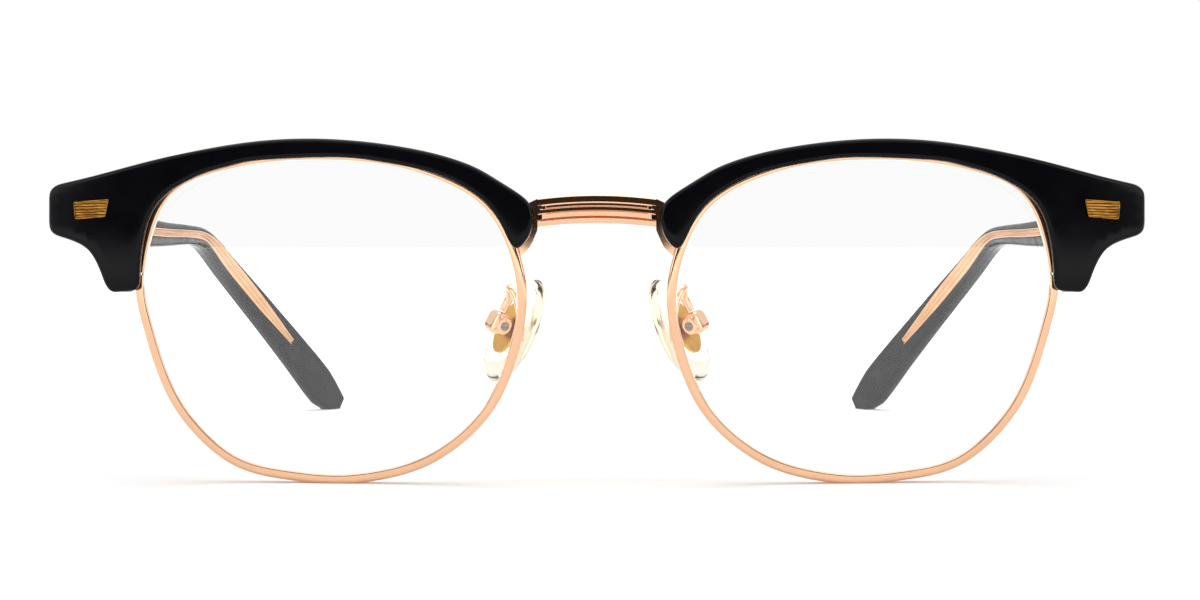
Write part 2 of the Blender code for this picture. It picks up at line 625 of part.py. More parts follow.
def temple_layers(side, tag, axis):
    """Black outer layer, and the crystal lining with a channel that holds the core wire."""
    split = LINING_THICKNESS

    def outer(h, t):
        c = min(0.7, 0.22 * h)
        a = split + FIT
        return [(a, 0), (t - c, 0), (t - 0.3 * c, 0.3 * c), (t, c), (t, h - c), (t - 0.3 * c, h - 0.3 * c), (t - c, h),
                (a, h)]

    def lining(h, t):
        c = min(0.6, 0.2 * h)
        return [(split, 0), (c, 0), (0.3 * c, 0.3 * c), (0, c), (0, h - c), (0.3 * c, h - 0.3 * c), (c, h), (split, h)]

    stations = temple_stations()
    put(f"{tag}_temple_outer", loft([temple_ring(d, outer) for d in stations]), BLACK, side, axis)
    obj = put(f"{tag}_temple_lining", loft([temple_ring(d, lining) for d in stations]), CRYSTAL, side, axis)

    face = split - CORE_THICKNESS
    wire_rows = [14, 20, 22, 24, 33, 41, 50, 60, 70, 80, 88, 94, 98, 101, 104, 107, 110, 113.5, 117, 121, 124, 127]

    def channel(extra):
        def section(h, t, core=None):
            top = 0.45 * h - core / 2 - extra
            low = 0.45 * h + core / 2 + extra
            if extra:
                return [(face - extra, top), (split + 0.3, top), (split + 0.3, low), (face - extra, low)]
            third = core / 3
            dent = 0.18
            line = [(face, top), (face, top + third - dent), (face + dent, top + third),
                    (face, top + third + dent), (face, low - third - dent), (face + dent, low - third),
                    (face, low - third + dent), (face, low)]
            return line + [(split - 0.02, low), (split - 0.02, top)]
        rows = list(wire_rows)
        if extra:
            rows[0] -= extra
            rows[-1] += extra
        rings = []
        for d in rows:
            core = at_y(CORE_ROWS, min(max(d, CORE_ROWS[0][0]), CORE_ROWS[-1][0]))[0]
            rings.append(temple_ring(d, lambda h, t, core=core: section(h, t, core)))
        return loft(rings)

    put(f"{tag}_core_wire", channel(0), ROSE, side, axis)
    cut(obj, channel(0.7 * FIT), side, axis)


# ---------------------------------------------------------------- nose pads
def pad_frame():
    """Origin and axes of the pad: along it (down), across it (to the ear and back), and towards the nose."""
    x, z = on_grid(PAD_PLACE[0], PAD_PLACE[2])
    along = Vector((math.sin(PAD_LEAN), 0, -math.cos(PAD_LEAN)))
    flat = Vector((math.cos(PAD_LEAN), 0, math.sin(PAD_LEAN)))
    across = flat * math.cos(PAD_SPLAY) + Vector((0, 1, 0)) * math.sin(PAD_SPLAY)
    return Vector((x, PAD_PLACE[1], z)), along, across, along.cross(across) * -1


def in_pad(u, v, w):
    origin, along, across, nose = pad_frame()
    return origin + along * u + across * v + nose * w


def nose_pad(side, tag, axis):
    """A soft drop-shaped pad: domed to the nose, flat where its metal insert lies."""
    rings = []
    for scale, w in ((0.4, 1.0), (0.75, 0.85), (0.95, 0.45), (1.0, 0.0), (0.93, -0.5), (0.72, -0.9), (0.3, -0.9)):
        ring = []
        for k in range(24):
            a = 2 * math.pi * k / 24
            taper = 1 + 0.1 * math.cos(a)
            ring.append(in_pad(PAD_LENGTH / 2 * scale * math.cos(a), PAD_WIDTH / 2 * scale * math.sin(a) * taper, w))
        rings.append(ring)
    put(f"{tag}_nose_pad", loft(rings), SILICONE, side, axis)


def pad_insert(side, tag, axis):
    """Metal plate on the pad, with the eye that the rocking screw passes through."""
    top = -0.9 - FIT
    rings = []
    for w in (top, top - 0.5):
        rings.append([in_pad(3.6 * math.cos(a), 1.9 * math.sin(a), w)
                      for a in (2 * math.pi * k / 20 for k in range(20))])
    obj = put(f"{tag}_pad_insert", loft(rings), GOLD, side, axis)
    end = 0.62
    ring = [(-1.1, top - 0.25), (-end, -PIVOT_RISE)]
    ring += [(end * math.cos(a), -PIVOT_RISE + end * math.sin(a))
             for a in (math.pi + math.pi * k / 8 for k in range(1, 8))]
    ring += [(end, -PIVOT_RISE), (1.1, top - 0.25)]
    eye = loft([[in_pad(u, v, w) for u, w in ring] for v in (-0.45, 0.45)])
    tool = put(f"{tag}_pad_insert_eye", eye, None, side, axis, cutter=True)
    join = obj.modifiers.new("eye", "BOOLEAN")
    join.operation, join.solver, join.object = "UNION", "EXACT", tool
    across = pad_frame()[2]
    bore = 0.32 + BORE_FIT
    cut(obj, round_bar(in_pad(0, -2, -PIVOT_RISE), across, [(bore, 0), (bore, 4)], 12), side, axis)


def pad_box(side, tag, master):
    """The little clevis on the arm, and its screw."""
    _, along, across, nose = pad_frame()
    lu, lv, lw = BOX[0] / 2, BOX[1] / 2, BOX[2]
    top = -PIVOT_RISE + 0.9
    c = 0.5
    ring = [(-lu + c, -lv), (lu - c, -lv), (lu, -lv + c), (lu, lv - c), (lu - c, lv), (-lu + c, lv), (-lu, lv - c),
            (-lu, -lv + c)]
    body = loft([[in_pad(u, v, top) for u, v in ring], [in_pad(u, v, top - lw + 0.4) for u, v in ring],
                 [in_pad(u * 0.8, v * 0.8, top - lw) for u, v in ring]])
    obj = put(f"{tag}_pad_box", body, ROSE, side, master)
    start = in_pad(0, 0, 0)
    slot = block(start, (along, across, nose), (-3, -0.45 - FIT, -PIVOT_RISE - 0.62 - FIT), (3, 0.45 + FIT, 0))
    cut(obj, slot, side, master)
    bore = 0.32 + BORE_FIT
    cut(obj, round_bar(in_pad(0, -3, -PIVOT_RISE), across, [(bore, 0), (bore, 6)], 12), side, master)
    screw(f"{tag}_pad_screw", in_pad(0, -lv - FIT, -PIVOT_RISE), -across, 0.85, 0.4, 0.32, BOX[1] + 0.1, side, master)


def pad_arm(side, tag, master):
    """The bent wire from the back of the eyewire, up and over to the top of the pad box."""
    _, along, _, _ = pad_frame()
    x, z = on_grid(9.95, 18.2)
    foot = Vector((x, front_y(x, z) + RIM_DEPTH + FIT + ARM_RADIUS, z))
    mid = -PIVOT_RISE + 0.9 - BOX[2] / 2
    end = in_pad(-BOX[0] / 2 - FIT, 0, mid)
    dx, dz = foot.x - 9.95, foot.z - 18.2
    shape = [tuple(foot), (9.8 + dx, foot.y + 0.3, 20.6 + dz), (10.2 + dx, foot.y + 1.2, 23.3 + dz),
             (11.2 + dx, foot.y + 2.6, 25.0 + dz), tuple(end - along * 2.2 + Vector((0, -0.4, 0))),
             tuple(end - along * 0.8), tuple(end)]
    put(f"{tag}_pad_arm", tube(through(shape, 3), ARM_RADIUS), ROSE, side, master)


# ---------------------------------------------------------------- the whole
def clear_scene():
    for obj in list(bpy.data.objects):
        bpy.data.objects.remove(obj, do_unlink=True)


def centre_on_origin(master, axes):
    """Moves everything so that the middle of its bounds stands over the origin."""
    bpy.context.view_layer.update()
    ys = [(o.matrix_world @ v.co).y for o in bpy.data.objects if o.type == "MESH" and not o.hide_render
          for v in o.data.vertices]
    master.location.y = -(min(ys) + max(ys)) / 2
    bpy.context.view_layer.update()
    for empty in axes:
        print("axis", empty.name, tuple(round(c, 6) for c in empty.matrix_world.translation))
    print("shift", round(master.location.y, 6))


def build():
    clear_scene()
    master = pivot("frame_origin", (0, 0, 0))
    bridge(master)
    axes = []
    for side, tag in ((-1, "right"), (1, "left")):
        rim(side, tag, master)
        lens(side, tag, master)
        brow(side, tag, master)
        plaque(side, tag, master)
        closing_blocks(side, tag, master)
        nose_tab(side, tag, master)
        end_plate(side, tag, master)
        front_hinge(side, tag, master)
        pad_box(side, tag, master)
        pad_arm(side, tag, master)
        pad_pivot = in_pad(0, 0, -PIVOT_RISE)
        pad_axis = pivot(f"{tag}_pad_axis", (side * pad_pivot.x, pad_pivot.y, pad_pivot.z))
        fold_axis = pivot(f"{tag}_fold_axis", (side * pin_x(), pin_y(), hinge_z()))
        for empty in (pad_axis, fold_axis):
            axes.append(empty)
        nose_pad(side, tag, pad_axis)
        pad_insert(side, tag, pad_axis)
        temple_hinge(side, tag, fold_axis)
        temple_layers(side, tag, fold_axis)
        for empty in (pad_axis, fold_axis):
            empty.parent = master
    centre_on_origin(master, axes)
    _, along, across, nose = pad_frame()
    print("pad screw axis", tuple(round(c, 5) for c in across))


build()
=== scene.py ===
# %% [markdown]
# # Browline eyeglasses
# The frame below is the finished CAD model. This lesson dresses it: it makes the fine surfaces that a maker
# would polish by hand, gives each its real finish, and lights them as a studio would.

# %% Load the frame
import json
import math
import bmesh
import bpy
from mathutils import Matrix, Vector
from mathutils.geometry import delaunay_2d_cdt


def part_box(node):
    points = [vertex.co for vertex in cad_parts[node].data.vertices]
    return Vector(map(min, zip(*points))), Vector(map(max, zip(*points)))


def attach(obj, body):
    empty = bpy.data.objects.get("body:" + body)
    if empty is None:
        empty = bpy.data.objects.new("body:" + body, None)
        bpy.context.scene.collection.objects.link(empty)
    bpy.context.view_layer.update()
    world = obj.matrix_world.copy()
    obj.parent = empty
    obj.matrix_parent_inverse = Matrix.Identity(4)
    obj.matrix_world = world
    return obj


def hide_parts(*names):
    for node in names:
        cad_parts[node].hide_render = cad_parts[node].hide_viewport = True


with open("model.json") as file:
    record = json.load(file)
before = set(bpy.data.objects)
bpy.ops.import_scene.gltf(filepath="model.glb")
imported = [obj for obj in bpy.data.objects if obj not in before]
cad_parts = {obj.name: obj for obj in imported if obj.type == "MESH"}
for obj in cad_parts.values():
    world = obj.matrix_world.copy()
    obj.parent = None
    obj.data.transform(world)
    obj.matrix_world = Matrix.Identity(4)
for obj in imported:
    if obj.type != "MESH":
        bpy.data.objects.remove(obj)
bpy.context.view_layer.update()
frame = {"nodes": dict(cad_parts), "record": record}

# %% [markdown]
# The whole front follows two gentle face curves and leans back a few degrees, so one small function gives the
# depth anywhere on it. Every piece of the front asks it, and so they all fit each other. Sizes are in
# millimetres, drawn for the wearer's left, and the right side is the mirror image.

# %% Sizes and the curve of the front
BASE_RADIUS, TILT = 133.0, math.radians(4.0)
RIM_WIDTH, RIM_DEPTH, GROOVE, FIT = 1.25, 2.4, 0.55, 0.1
PROUD, END_BACK = 1.5, 10.2
PIN_Y = 13.0                       # the temple hinge pin, behind the drawing's zero
SIDES = ((-1, "right"), (1, "left"))
fold = next(j for j in frame["record"]["behaviour"]["joints"] if j["name"] == "left_temple_fold")
SHIFT = fold["pos_m"][1] * 1000 - PIN_Y


def front_y(x, z):
    return ((abs(x) - 22.0) ** 2 + (z - 21.0) ** 2) / (2 * BASE_RADIUS) + (21.0 - z) * math.tan(TILT)


def ease(t):
    t = min(max(t, 0.0), 1.0)
    return t * t * (3 - 2 * t)


def brow_back(x, z):
    mix = ease((abs(x) - 56.0) / 5.5)
    return (front_y(x, z) + RIM_DEPTH) * (1 - mix) + END_BACK * mix


print("shift of the drawing along Y, mm:", round(SHIFT, 3))

# %% [markdown]
# Outlines are a few points that a smooth curve passes through, as a pattern maker marks key points and bends a
# spline through them. The same helpers read the temple's table of widths.

# %% Curves and outlines
APERTURE = [(58.1, 27.5), (57.0, 19.4), (53.4, 10.1), (46.8, 3.5), (38.4, 1.42), (30.0, 1.32), (21.2, 3.9),
            (14.1, 10.3), (10.5, 20.0), (10.7, 28.2), (14.7, 35.7), (23.6, 40.0), (34.5, 41.35), (46.0, 40.4),
            (54.6, 36.8)]
BROW_TOP = [(8.0, 34.6), (8.9, 36.3), (12.3, 38.6), (16.1, 40.7), (21.8, 42.4), (29.4, 43.6), (37.1, 44.0),
            (44.9, 43.5), (54.8, 41.8), (64.9, 39.4), (70.1, 38.3)]
BROW_SIDE = [(71.0, 37.5), (71.0, 32.6), (70.5, 31.9)]
BROW_UNDER = [(67.8, 31.1), (66.0, 30.3), (64.9, 29.1), (64.0, 27.4), (63.3, 25.5)]
BROW_TAIL = [(62.5, 24.4), (59.1, 24.65)]
BROW_INNER = [(58.5, 25.4), (58.4, 28.3), (57.9, 31.6), (56.8, 34.8), (54.7, 37.2), (50.8, 39.3),
              (46.8, 40.5), (42.9, 41.25), (33.2, 41.6), (27.5, 41.05), (21.8, 39.9), (17.8, 38.4),
              (14.2, 36.0), (12.3, 33.5), (11.2, 31.2)]
BROW_NOSE = [(10.4, 29.9), (9.5, 30.3), (8.55, 31.6), (8.05, 33.1)]


def through(points, per, closed=False):
    count = len(points)
    out = []
    for i in range(count if closed else count - 1):
        picks = [(i + k) % count if closed else min(max(i + k, 0), count - 1) for k in (-1, 0, 1, 2)]
        p = [points[k] for k in picks]
        for step in range(per):
            t = step / per
            out.append(tuple(0.5 * (2 * b + (c - a) * t + (2 * a - 5 * b + 4 * c - d) * t * t
                                    + (3 * b - a - 3 * c + d) * t ** 3) for a, b, c, d in zip(*p)))
    return out if closed else out + [tuple(points[-1])]


def at_y(rows, y):
    i = max(k for k in range(len(rows) - 1) if rows[k][0] <= y or k == 0)
    step = rows[i + 1][0] - rows[i][0]
    t = (y - rows[i][0]) / step
    out = []
    for c in range(1, len(rows[0])):
        def slope(k):
            a, b = max(k - 1, 0), min(k + 1, len(rows) - 1)
            return (rows[b][c] - rows[a][c]) / (rows[b][0] - rows[a][0])
        out.append((2 * t ** 3 - 3 * t * t + 1) * rows[i][c] + (t ** 3 - 2 * t * t + t) * slope(i) * step
                   + (3 * t * t - 2 * t ** 3) * rows[i + 1][c] + (t ** 3 - t * t) * slope(i + 1) * step)
    return out


def offset(outline, distance):
    count = len(outline)
    area = sum(outline[i - 1][0] * outline[i][1] - outline[i][0] * outline[i - 1][1]
               for i in range(count))
    sign = 1 if area > 0 else -1
    out = []
    for i in range(count):
        (ax, az), (bx, bz), (cx, cz) = outline[i - 1], outline[i], outline[(i + 1) % count]
        n1, n2 = Vector((bz - az, ax - bx)).normalized(), Vector((cz - bz, bx - cx)).normalized()
        mean = (n1 + n2).normalized()
        reach = distance * sign / max(mean.dot(n1), 0.6)
        out.append((bx + mean.x * reach, bz + mean.y * reach))
    return out


def soften(outline, spacing=0.35, rounds=4):
    """Spaces points evenly and averages them a few times, which rounds the corners as a polishing wheel does."""
    points = []
    for i, p in enumerate(outline):
        q = outline[(i + 1) % len(outline)]
        parts = max(1, round(math.dist(p, q) / spacing))
        points += [(p[0] + (q[0] - p[0]) * k / parts, p[1] + (q[1] - p[1]) * k / parts) for k in range(parts)]
    for _ in range(rounds):
        points = [tuple(0.25 * a + 0.5 * b + 0.25 * c for a, b, c in zip(points[i - 1], points[i],
                                                                         points[(i + 1) % len(points)]))
                  for i in range(len(points))]
    return points


aperture = through(APERTURE, 12, closed=True)
brow_line = soften(through(BROW_TOP, 4) + BROW_SIDE + through(BROW_UNDER, 2) + BROW_TAIL
                   + through(BROW_INNER, 3) + BROW_NOSE)
print("aperture points", len(aperture), "brow points", len(brow_line))

# %% [markdown]
# A piece is a row of rings skinned together: a loft. A plate is a loft of one outline at several depths, with
# extra points inside so that its faces bend with the front instead of bridging it.

# %% Lofts, plates and putting a piece in its place
def loft(rings, caps=(None, None)):
    bm = bmesh.new()
    rows = [[bm.verts.new(Vector(p)) for p in ring] for ring in rings]
    for a, b in zip(rows, rows[1:]):
        for i in range(len(a)):
            j = (i + 1) % len(a)
            bm.faces.new((a[i], a[j], b[j], b[i]))
    for row, cap in ((rows[0], caps[0]), (rows[-1], caps[1])):
        corners, own = cap or ([range(len(row))], [])
        row = row + [bm.verts.new(Vector(p)) for p in own]
        for corner in corners:
            bm.faces.new([row[i] for i in corner])
    return bm


def inside(point, outline):
    hit = False
    for (ax, az), (bx, bz) in zip(outline, outline[1:] + outline[:1]):
        if (az > point[1]) != (bz > point[1]) and point[0] < (bx - ax) * (point[1] - az) / (bz - az) + ax:
            hit = not hit
    return hit


def net(outline, pitch, margin):
    """Points in rows inside an outline, kept off its edge."""
    inner = offset(outline, -margin)
    xs, zs = [p[0] for p in inner], [p[1] for p in inner]
    out, z, odd = [], min(zs), 0
    while z < max(zs):
        x = min(xs) + (pitch / 2 if odd else 0)
        while x < max(xs):
            if inside((x, z), inner):
                out.append((x, z))
            x += pitch
        z, odd = z + pitch * 0.87, 1 - odd
    return out


def plate(outline, faces, inner=()):
    rings, caps = [], []
    for k, (inset, depth) in enumerate(faces):
        ring = offset(outline, -inset) if inset else outline
        rings.append([(x, depth(x, z), z) for x, z in ring])
        if k in (0, len(faces) - 1):
            count = len(ring)
            edges = [(i, (i + 1) % count) for i in range(count)]
            flat = [Vector(p) for p in ring + list(inner)]
            made = delaunay_2d_cdt(flat, edges, [list(range(count))], 1, 1e-6)
            corners = [[made[3][i][0] for i in face] for face in made[2]]
            caps.append((corners, [(x, depth(x, z), z) for x, z in inner]))
    return loft(rings, caps)


def round_bar(origin, axis, profile, sides=48):
    axis = Vector(axis).normalized()
    across = axis.orthogonal().normalized()
    other = axis.cross(across)
    turns = [2 * math.pi * k / sides for k in range(sides)]
    return loft([[Vector(origin) + axis * along + (across * math.cos(a) + other * math.sin(a)) * radius
                  for a in turns] for radius, along in profile])


def settle(bm, side, scale=0.001):
    """Mirrors and moves a drawing in millimetres to its place on the frame, in metres, faces outwards."""
    for v in bm.verts:
        v.co = Vector((v.co.x * side, v.co.y + SHIFT, v.co.z)) * scale
    bmesh.ops.recalc_face_normals(bm, faces=bm.faces[:])
    if bm.calc_volume(signed=True) < 0:
        bmesh.ops.reverse_faces(bm, faces=bm.faces[:])


def new_object(name, bm, side):
    settle(bm, side)
    mesh = bpy.data.meshes.new(name)
    bm.to_mesh(mesh)
    bm.free()
    obj = bpy.data.objects.new(name, mesh)
    bpy.context.scene.collection.objects.link(obj)
    return obj


def carve(obj, *tools):
    """Cuts each tool out of the piece for good."""
    for tool in tools:
        mod = obj.modifiers.new("cut", "BOOLEAN")
        mod.operation, mod.solver, mod.object = "DIFFERENCE", "EXACT", tool
    graph = bpy.context.evaluated_depsgraph_get()
    done = bpy.data.meshes.new_from_object(obj.evaluated_get(graph))
    obj.modifiers.clear()
    obj.data = done
    for tool in tools:
        bpy.data.objects.remove(tool)


def finish_piece(obj, material, body, nodes=(), crease=32):
    obj.data.materials.clear()
    obj.data.materials.append(material)
    obj.data.shade_smooth()
    obj.data.set_sharp_from_angle(angle=math.radians(crease))
    if nodes:
        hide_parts(*nodes)
    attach(obj, body)
    print(obj.name, "faces", len(obj.data.polygons), "on", body)
    return obj


# %% [markdown]
# Each finish starts from what the real one is. Colours are written as a painter would mix them, in sRGB, and
# one function turns them to the linear values that light is added up in.

# %% Colour and node helpers
def paint(hex_colour, alpha=1.0):
    parts = [int(hex_colour[i:i + 2], 16) / 255 for i in (1, 3, 5)]
    return (*[c / 12.92 if c <= 0.04045 else ((c + 0.055) / 1.055) ** 2.4 for c in parts], alpha)


def add(tree, kind, settings=None, **links):
    """Adds a node, sets its properties and unlinked inputs, and links the rest."""
    node = tree.nodes.new(kind)
    for key, value in (settings or {}).items():
        if isinstance(key, int) or key in node.inputs:
            node.inputs[key].default_value = value
        else:
            setattr(node, key, value)
    for key, source in links.items():
        numbered = key[0] == "n" and key[1:].isdigit()
        into = node.inputs[int(key[1:]) if numbered else key.replace("_", " ")]
        tree.links.new(source, into)
    return node


def new_material(name, **values):
    mat = bpy.data.materials.new(name)
    mat.use_nodes = True
    shader = mat.node_tree.nodes["Principled BSDF"]
    for key, value in values.items():
        shader.inputs[key.replace("_", " ")].default_value = value
    return mat, mat.node_tree, shader


def object_pattern(tree, scale):
    """Object coordinates in millimetres, stretched by scale along each axis."""
    place = add(tree, "ShaderNodeTexCoord")
    return add(tree, "ShaderNodeMapping", {"Scale": tuple(1000 * s for s in scale)},
               Vector=place.outputs["Object"])


def soft_bump(tree, shader, height, strength, distance):
    bump = add(tree, "ShaderNodeBump", {"Strength": strength, "Distance": distance}, Height=height)
    tree.links.new(bump.outputs["Normal"], shader.inputs["Normal"])


def vary(tree, shader, noise, socket, low, high):
    """Lets a noise move one of the shader's values gently between two numbers."""
    span = add(tree, "ShaderNodeMapRange", {"From Min": 0.3, "From Max": 0.7, "To Min": low, "To Max": high},
               Value=noise)
    tree.links.new(span.outputs["Result"], shader.inputs[socket])


# %% [markdown]
# Rose-gold plating is a micron of copper-rich gold over polished nickel. The eye sees a warm mirror with very
# fine polishing marks, so roughness wavers a little and the colour is that of the metal itself.

# %% Metals
def plated(name, colour, tint, rough, streak=(0.5, 0.5, 0.5)):
    mat, tree, shader = new_material(name, Metallic=1.0, Roughness=rough)
    where = object_pattern(tree, streak)
    noise = add(tree, "ShaderNodeTexNoise", {"Scale": 1.0, "Detail": 4.0}, Vector=where.outputs["Vector"])
    blend = add(tree, "ShaderNodeMix", {"data_type": "RGBA"}, n0=noise.outputs["Fac"])
    blend.inputs[6].default_value, blend.inputs[7].default_value = paint(colour), paint(tint)
    tree.links.new(blend.outputs[2], shader.inputs["Base Color"])
    vary(tree, shader, noise.outputs["Fac"], "Roughness", rough * 0.8, rough * 1.3)
    soft_bump(tree, shader, noise.outputs["Fac"], 0.04, 0.00005)
    return mat


rose_gold = plated("rose_gold_plate_polished", "#F3C6A2", "#EDBB96", 0.08)
core_gold = plated("rose_gold_core_wire_drawn", "#DDAF84", "#CFA076", 0.2, (0.5, 0.05, 0.5))
pale_gold = plated("yellow_gold_plate_satin", "#E2AE45", "#D29A35", 0.28)
screw_steel = plated("nickel_plated_steel_turned", "#A39A90", "#7C746C", 0.3, (3, 3, 3))


def antique_gold():
    """Stamped brass, darkened and rubbed back, with fine grain lines."""
    mat, tree, shader = new_material("antiqued_brass_stamped", Metallic=1.0, Roughness=0.36)
    where = object_pattern(tree, (0.5, 0.5, 7.0))
    noise = add(tree, "ShaderNodeTexNoise", {"Scale": 1.3, "Detail": 5.0}, Vector=where.outputs["Vector"])
    ramp = add(tree, "ShaderNodeValToRGB", n0=noise.outputs["Fac"])
    stops = ((0.38, "#7A4E16"), (0.6, "#D09A48"))
    for element, (position, colour) in zip(ramp.color_ramp.elements, stops):
        element.position, element.color = position, paint(colour)
    tree.links.new(ramp.outputs["Color"], shader.inputs["Base Color"])
    vary(tree, shader, noise.outputs["Fac"], "Roughness", 0.28, 0.5)
    return mat


brass_plaque = antique_gold()
brass_ground = plated("antiqued_brass_dark_ground", "#4A2C0C", "#2E1B08", 0.45)
print("metals", rose_gold.name, pale_gold.name, screw_steel.name, brass_plaque.name)

# %% [markdown]
# The brows and temples are cellulose acetate, cut from sheet and tumbled to a wet shine. Black sheet shows
# almost nothing but its highlights. The clear pieces let light through, and a shadow under them is faint, so
# their alpha drops for shadow rays only.

# %% Plastics, silicone and lens
def sheet_acetate(name, dark, light, rough, gloss):
    mat, tree, shader = new_material(name, Roughness=rough)
    shader.inputs["IOR"].default_value = 1.48
    shader.inputs["Specular IOR Level"].default_value = gloss
    noise = add(tree, "ShaderNodeTexNoise", {"Scale": 1.0, "Detail": 3.0},
                Vector=object_pattern(tree, (0.25, 0.25, 0.25)).outputs["Vector"])
    blend = add(tree, "ShaderNodeMix", {"data_type": "RGBA"}, n0=noise.outputs["Fac"])
    blend.inputs[6].default_value, blend.inputs[7].default_value = paint(dark), paint(light)
    tree.links.new(blend.outputs[2], shader.inputs["Base Color"])
    vary(tree, shader, noise.outputs["Fac"], "Roughness", rough * 0.75, rough * 1.3)
    soft_bump(tree, shader, noise.outputs["Fac"], 0.03, 0.0001)
    return mat


def clear(name, colour, ior, rough, shadow, wave, second=None):
    mat, tree, shader = new_material(name, Roughness=rough)
    shader.inputs["IOR"].default_value = ior
    shader.inputs["Transmission Weight"].default_value = 1.0
    noise = add(tree, "ShaderNodeTexNoise", {"Scale": 1.0, "Detail": 2.0},
                Vector=object_pattern(tree, (wave, wave, wave)).outputs["Vector"])
    blend = add(tree, "ShaderNodeMix", {"data_type": "RGBA"}, n0=noise.outputs["Fac"])
    blend.inputs[6].default_value = paint(colour)
    blend.inputs[7].default_value = paint(second or colour)
    tree.links.new(blend.outputs[2], shader.inputs["Base Color"])
    path = add(tree, "ShaderNodeLightPath")
    fade = add(tree, "ShaderNodeMapRange", {"To Min": 1.0, "To Max": shadow},
               Value=path.outputs["Is Shadow Ray"])
    tree.links.new(fade.outputs["Result"], shader.inputs["Alpha"])
    return mat


# the smoke lining is so dark that it reads as a solid charcoal sheet with a soft shine
black_acetate = sheet_acetate("black_acetate_tumbled", "#08080C", "#0D0D11", 0.13, 0.13)
smoke_acetate = sheet_acetate("smoke_acetate_tumbled", "#131316", "#1C1C20", 0.24, 0.06)
silicone = clear("clear_silicone_moulded", "#FCF5DC", 1.41, 0.08, 0.35, 0.3, "#FFFDF2")
silicone.node_tree.nodes["Principled BSDF"].inputs["Specular IOR Level"].default_value = 0.26
# silicone yellows with age, and it shows where one looks through the length of an edge
age = add(silicone.node_tree, "ShaderNodeVolumeAbsorption", {"Color": paint("#F0D68C"), "Density": 30.0})
silicone.node_tree.links.new(age.outputs[0], silicone.node_tree.nodes["Material Output"].inputs["Volume"])
lens_clear = clear("clear_demo_lens_cast_and_coated", "#FFFFFF", 1.49, 0.0, 0.04, 0.05)
# an anti-reflection coat takes most of the gloss off a lens
lens_clear.node_tree.nodes["Principled BSDF"].inputs["Specular IOR Level"].default_value = 0.02
print("plastics", black_acetate.name, smoke_acetate.name, silicone.name, lens_clear.name)

# %% [markdown]
# The eyewire is drawn wire with a groove rolled along its inside, bent round a former and closed at a split
# block. A loft of its true section round the lens shape keeps the groove and the soft rounded face.

# %% Eyewires
def arc(cx, cy, radius, start, end, steps):
    return [(cx + radius * math.cos(math.radians(start + (end - start) * k / steps)),
             cy + radius * math.sin(math.radians(start + (end - start) * k / steps))) for k in range(steps + 1)]


RIM_ROUND, RIM_INNER_ROUND, GROOVE_HALF = 0.42, 0.25, 0.7
SPLIT_HEIGHT, SPLIT_HALF = 26.7, 0.15


def eyewire(side, tag):
    w, d, mid = RIM_WIDTH, RIM_DEPTH, RIM_DEPTH / 2
    r, s = RIM_ROUND, RIM_INNER_ROUND
    section = arc(w - r, r, r, -90, 0, 6) + arc(w - r, d - r, r, 0, 90, 6) + arc(s, d - s, s, 90, 180, 3)
    section += [(0, mid + GROOVE_HALF), (GROOVE, mid), (0, mid - GROOVE_HALF)] + arc(s, s, s, 180, 270, 3)
    start = min(range(len(aperture)), key=lambda i: abs(aperture[i][1] - SPLIT_HEIGHT) - aperture[i][0])
    path = aperture[start:] + aperture[:start]
    rails = [offset(path, r) for r, _ in section]
    rings = []
    for i in range(len(path) + 1):
        shift = Vector((0, 0))
        if i in (0, len(path)):
            end = Vector(path[0])
            shift = (Vector(path[1 if i == 0 else -1]) - end).normalized() * SPLIT_HALF
        ring = []
        for (r, depth), rail in zip(section, rails):
            x, z = rail[i % len(path)]
            x, z = x + shift.x, max(z + shift.y, 0.0)
            ring.append((x, front_y(x, z) + depth, z))
        rings.append(ring)
    obj = new_object(f"{tag}_eyewire", loft(rings), side)
    finish_piece(obj, rose_gold, "front", [f"{tag}_rim"], 40)


for side, tag in SIDES:
    eyewire(side, tag)

# %% [markdown]
# The lens is cast clear plastic with a V-shaped edge that sits in the groove. Rings that shrink towards its
# middle give both faces the full face curve.

# %% Lenses
LENS_PLAY, LENS_BITE, LENS_HALF, LENS_RINGS = 0.06, 0.08, 0.6, 14


def lens(side, tag):
    centre = Vector((sum(p[0] for p in aperture) / len(aperture), sum(p[1] for p in aperture) / len(aperture)))
    edge, apex, mid = offset(aperture, -LENS_PLAY), offset(aperture, GROOVE - LENS_BITE), RIM_DEPTH / 2

    def ring(points, scale, depth):
        flat = [centre + (Vector(p) - centre) * scale for p in points]
        return [(p.x, front_y(p.x, p.y) + depth, p.y) for p in flat]

    scales = [k / LENS_RINGS for k in range(1, LENS_RINGS + 1)]
    rings = [ring(edge, s, mid - LENS_HALF) for s in scales] + [ring(apex, 1, mid)]
    rings += [ring(edge, s, mid + LENS_HALF) for s in reversed(scales)]
    finish_piece(new_object(f"{tag}_lens_fine", loft(rings), side), lens_clear, "front",
                 [f"{tag}_lens"])


for side, tag in SIDES:
    lens(side, tag)

# %% [markdown]
# The brow is milled from thick black sheet: a crowned face, a tumbled edge, a step that sits over the metal,
# and a thick endpiece for the hinge. A plate with a rounded edge gives the outside, and the step and the bed
# of the plaque are cut from it as the mill cuts them.

# %% Brows
PLAQUE = [(67.4, 36.1), (62.5, 36.4), (63.0, 34.1), (67.2, 33.8)]


def edge_round(radius, steps, face):
    """Insets and depths of a quarter-round edge, from the face inwards to the side."""
    turn = [math.pi / 2 * k / steps for k in range(steps + 1)]
    return [(radius * (1 - math.sin(a)), lambda x, z, a=a: face(x, z) + radius * (1 - math.cos(a)))
            for a in turn]


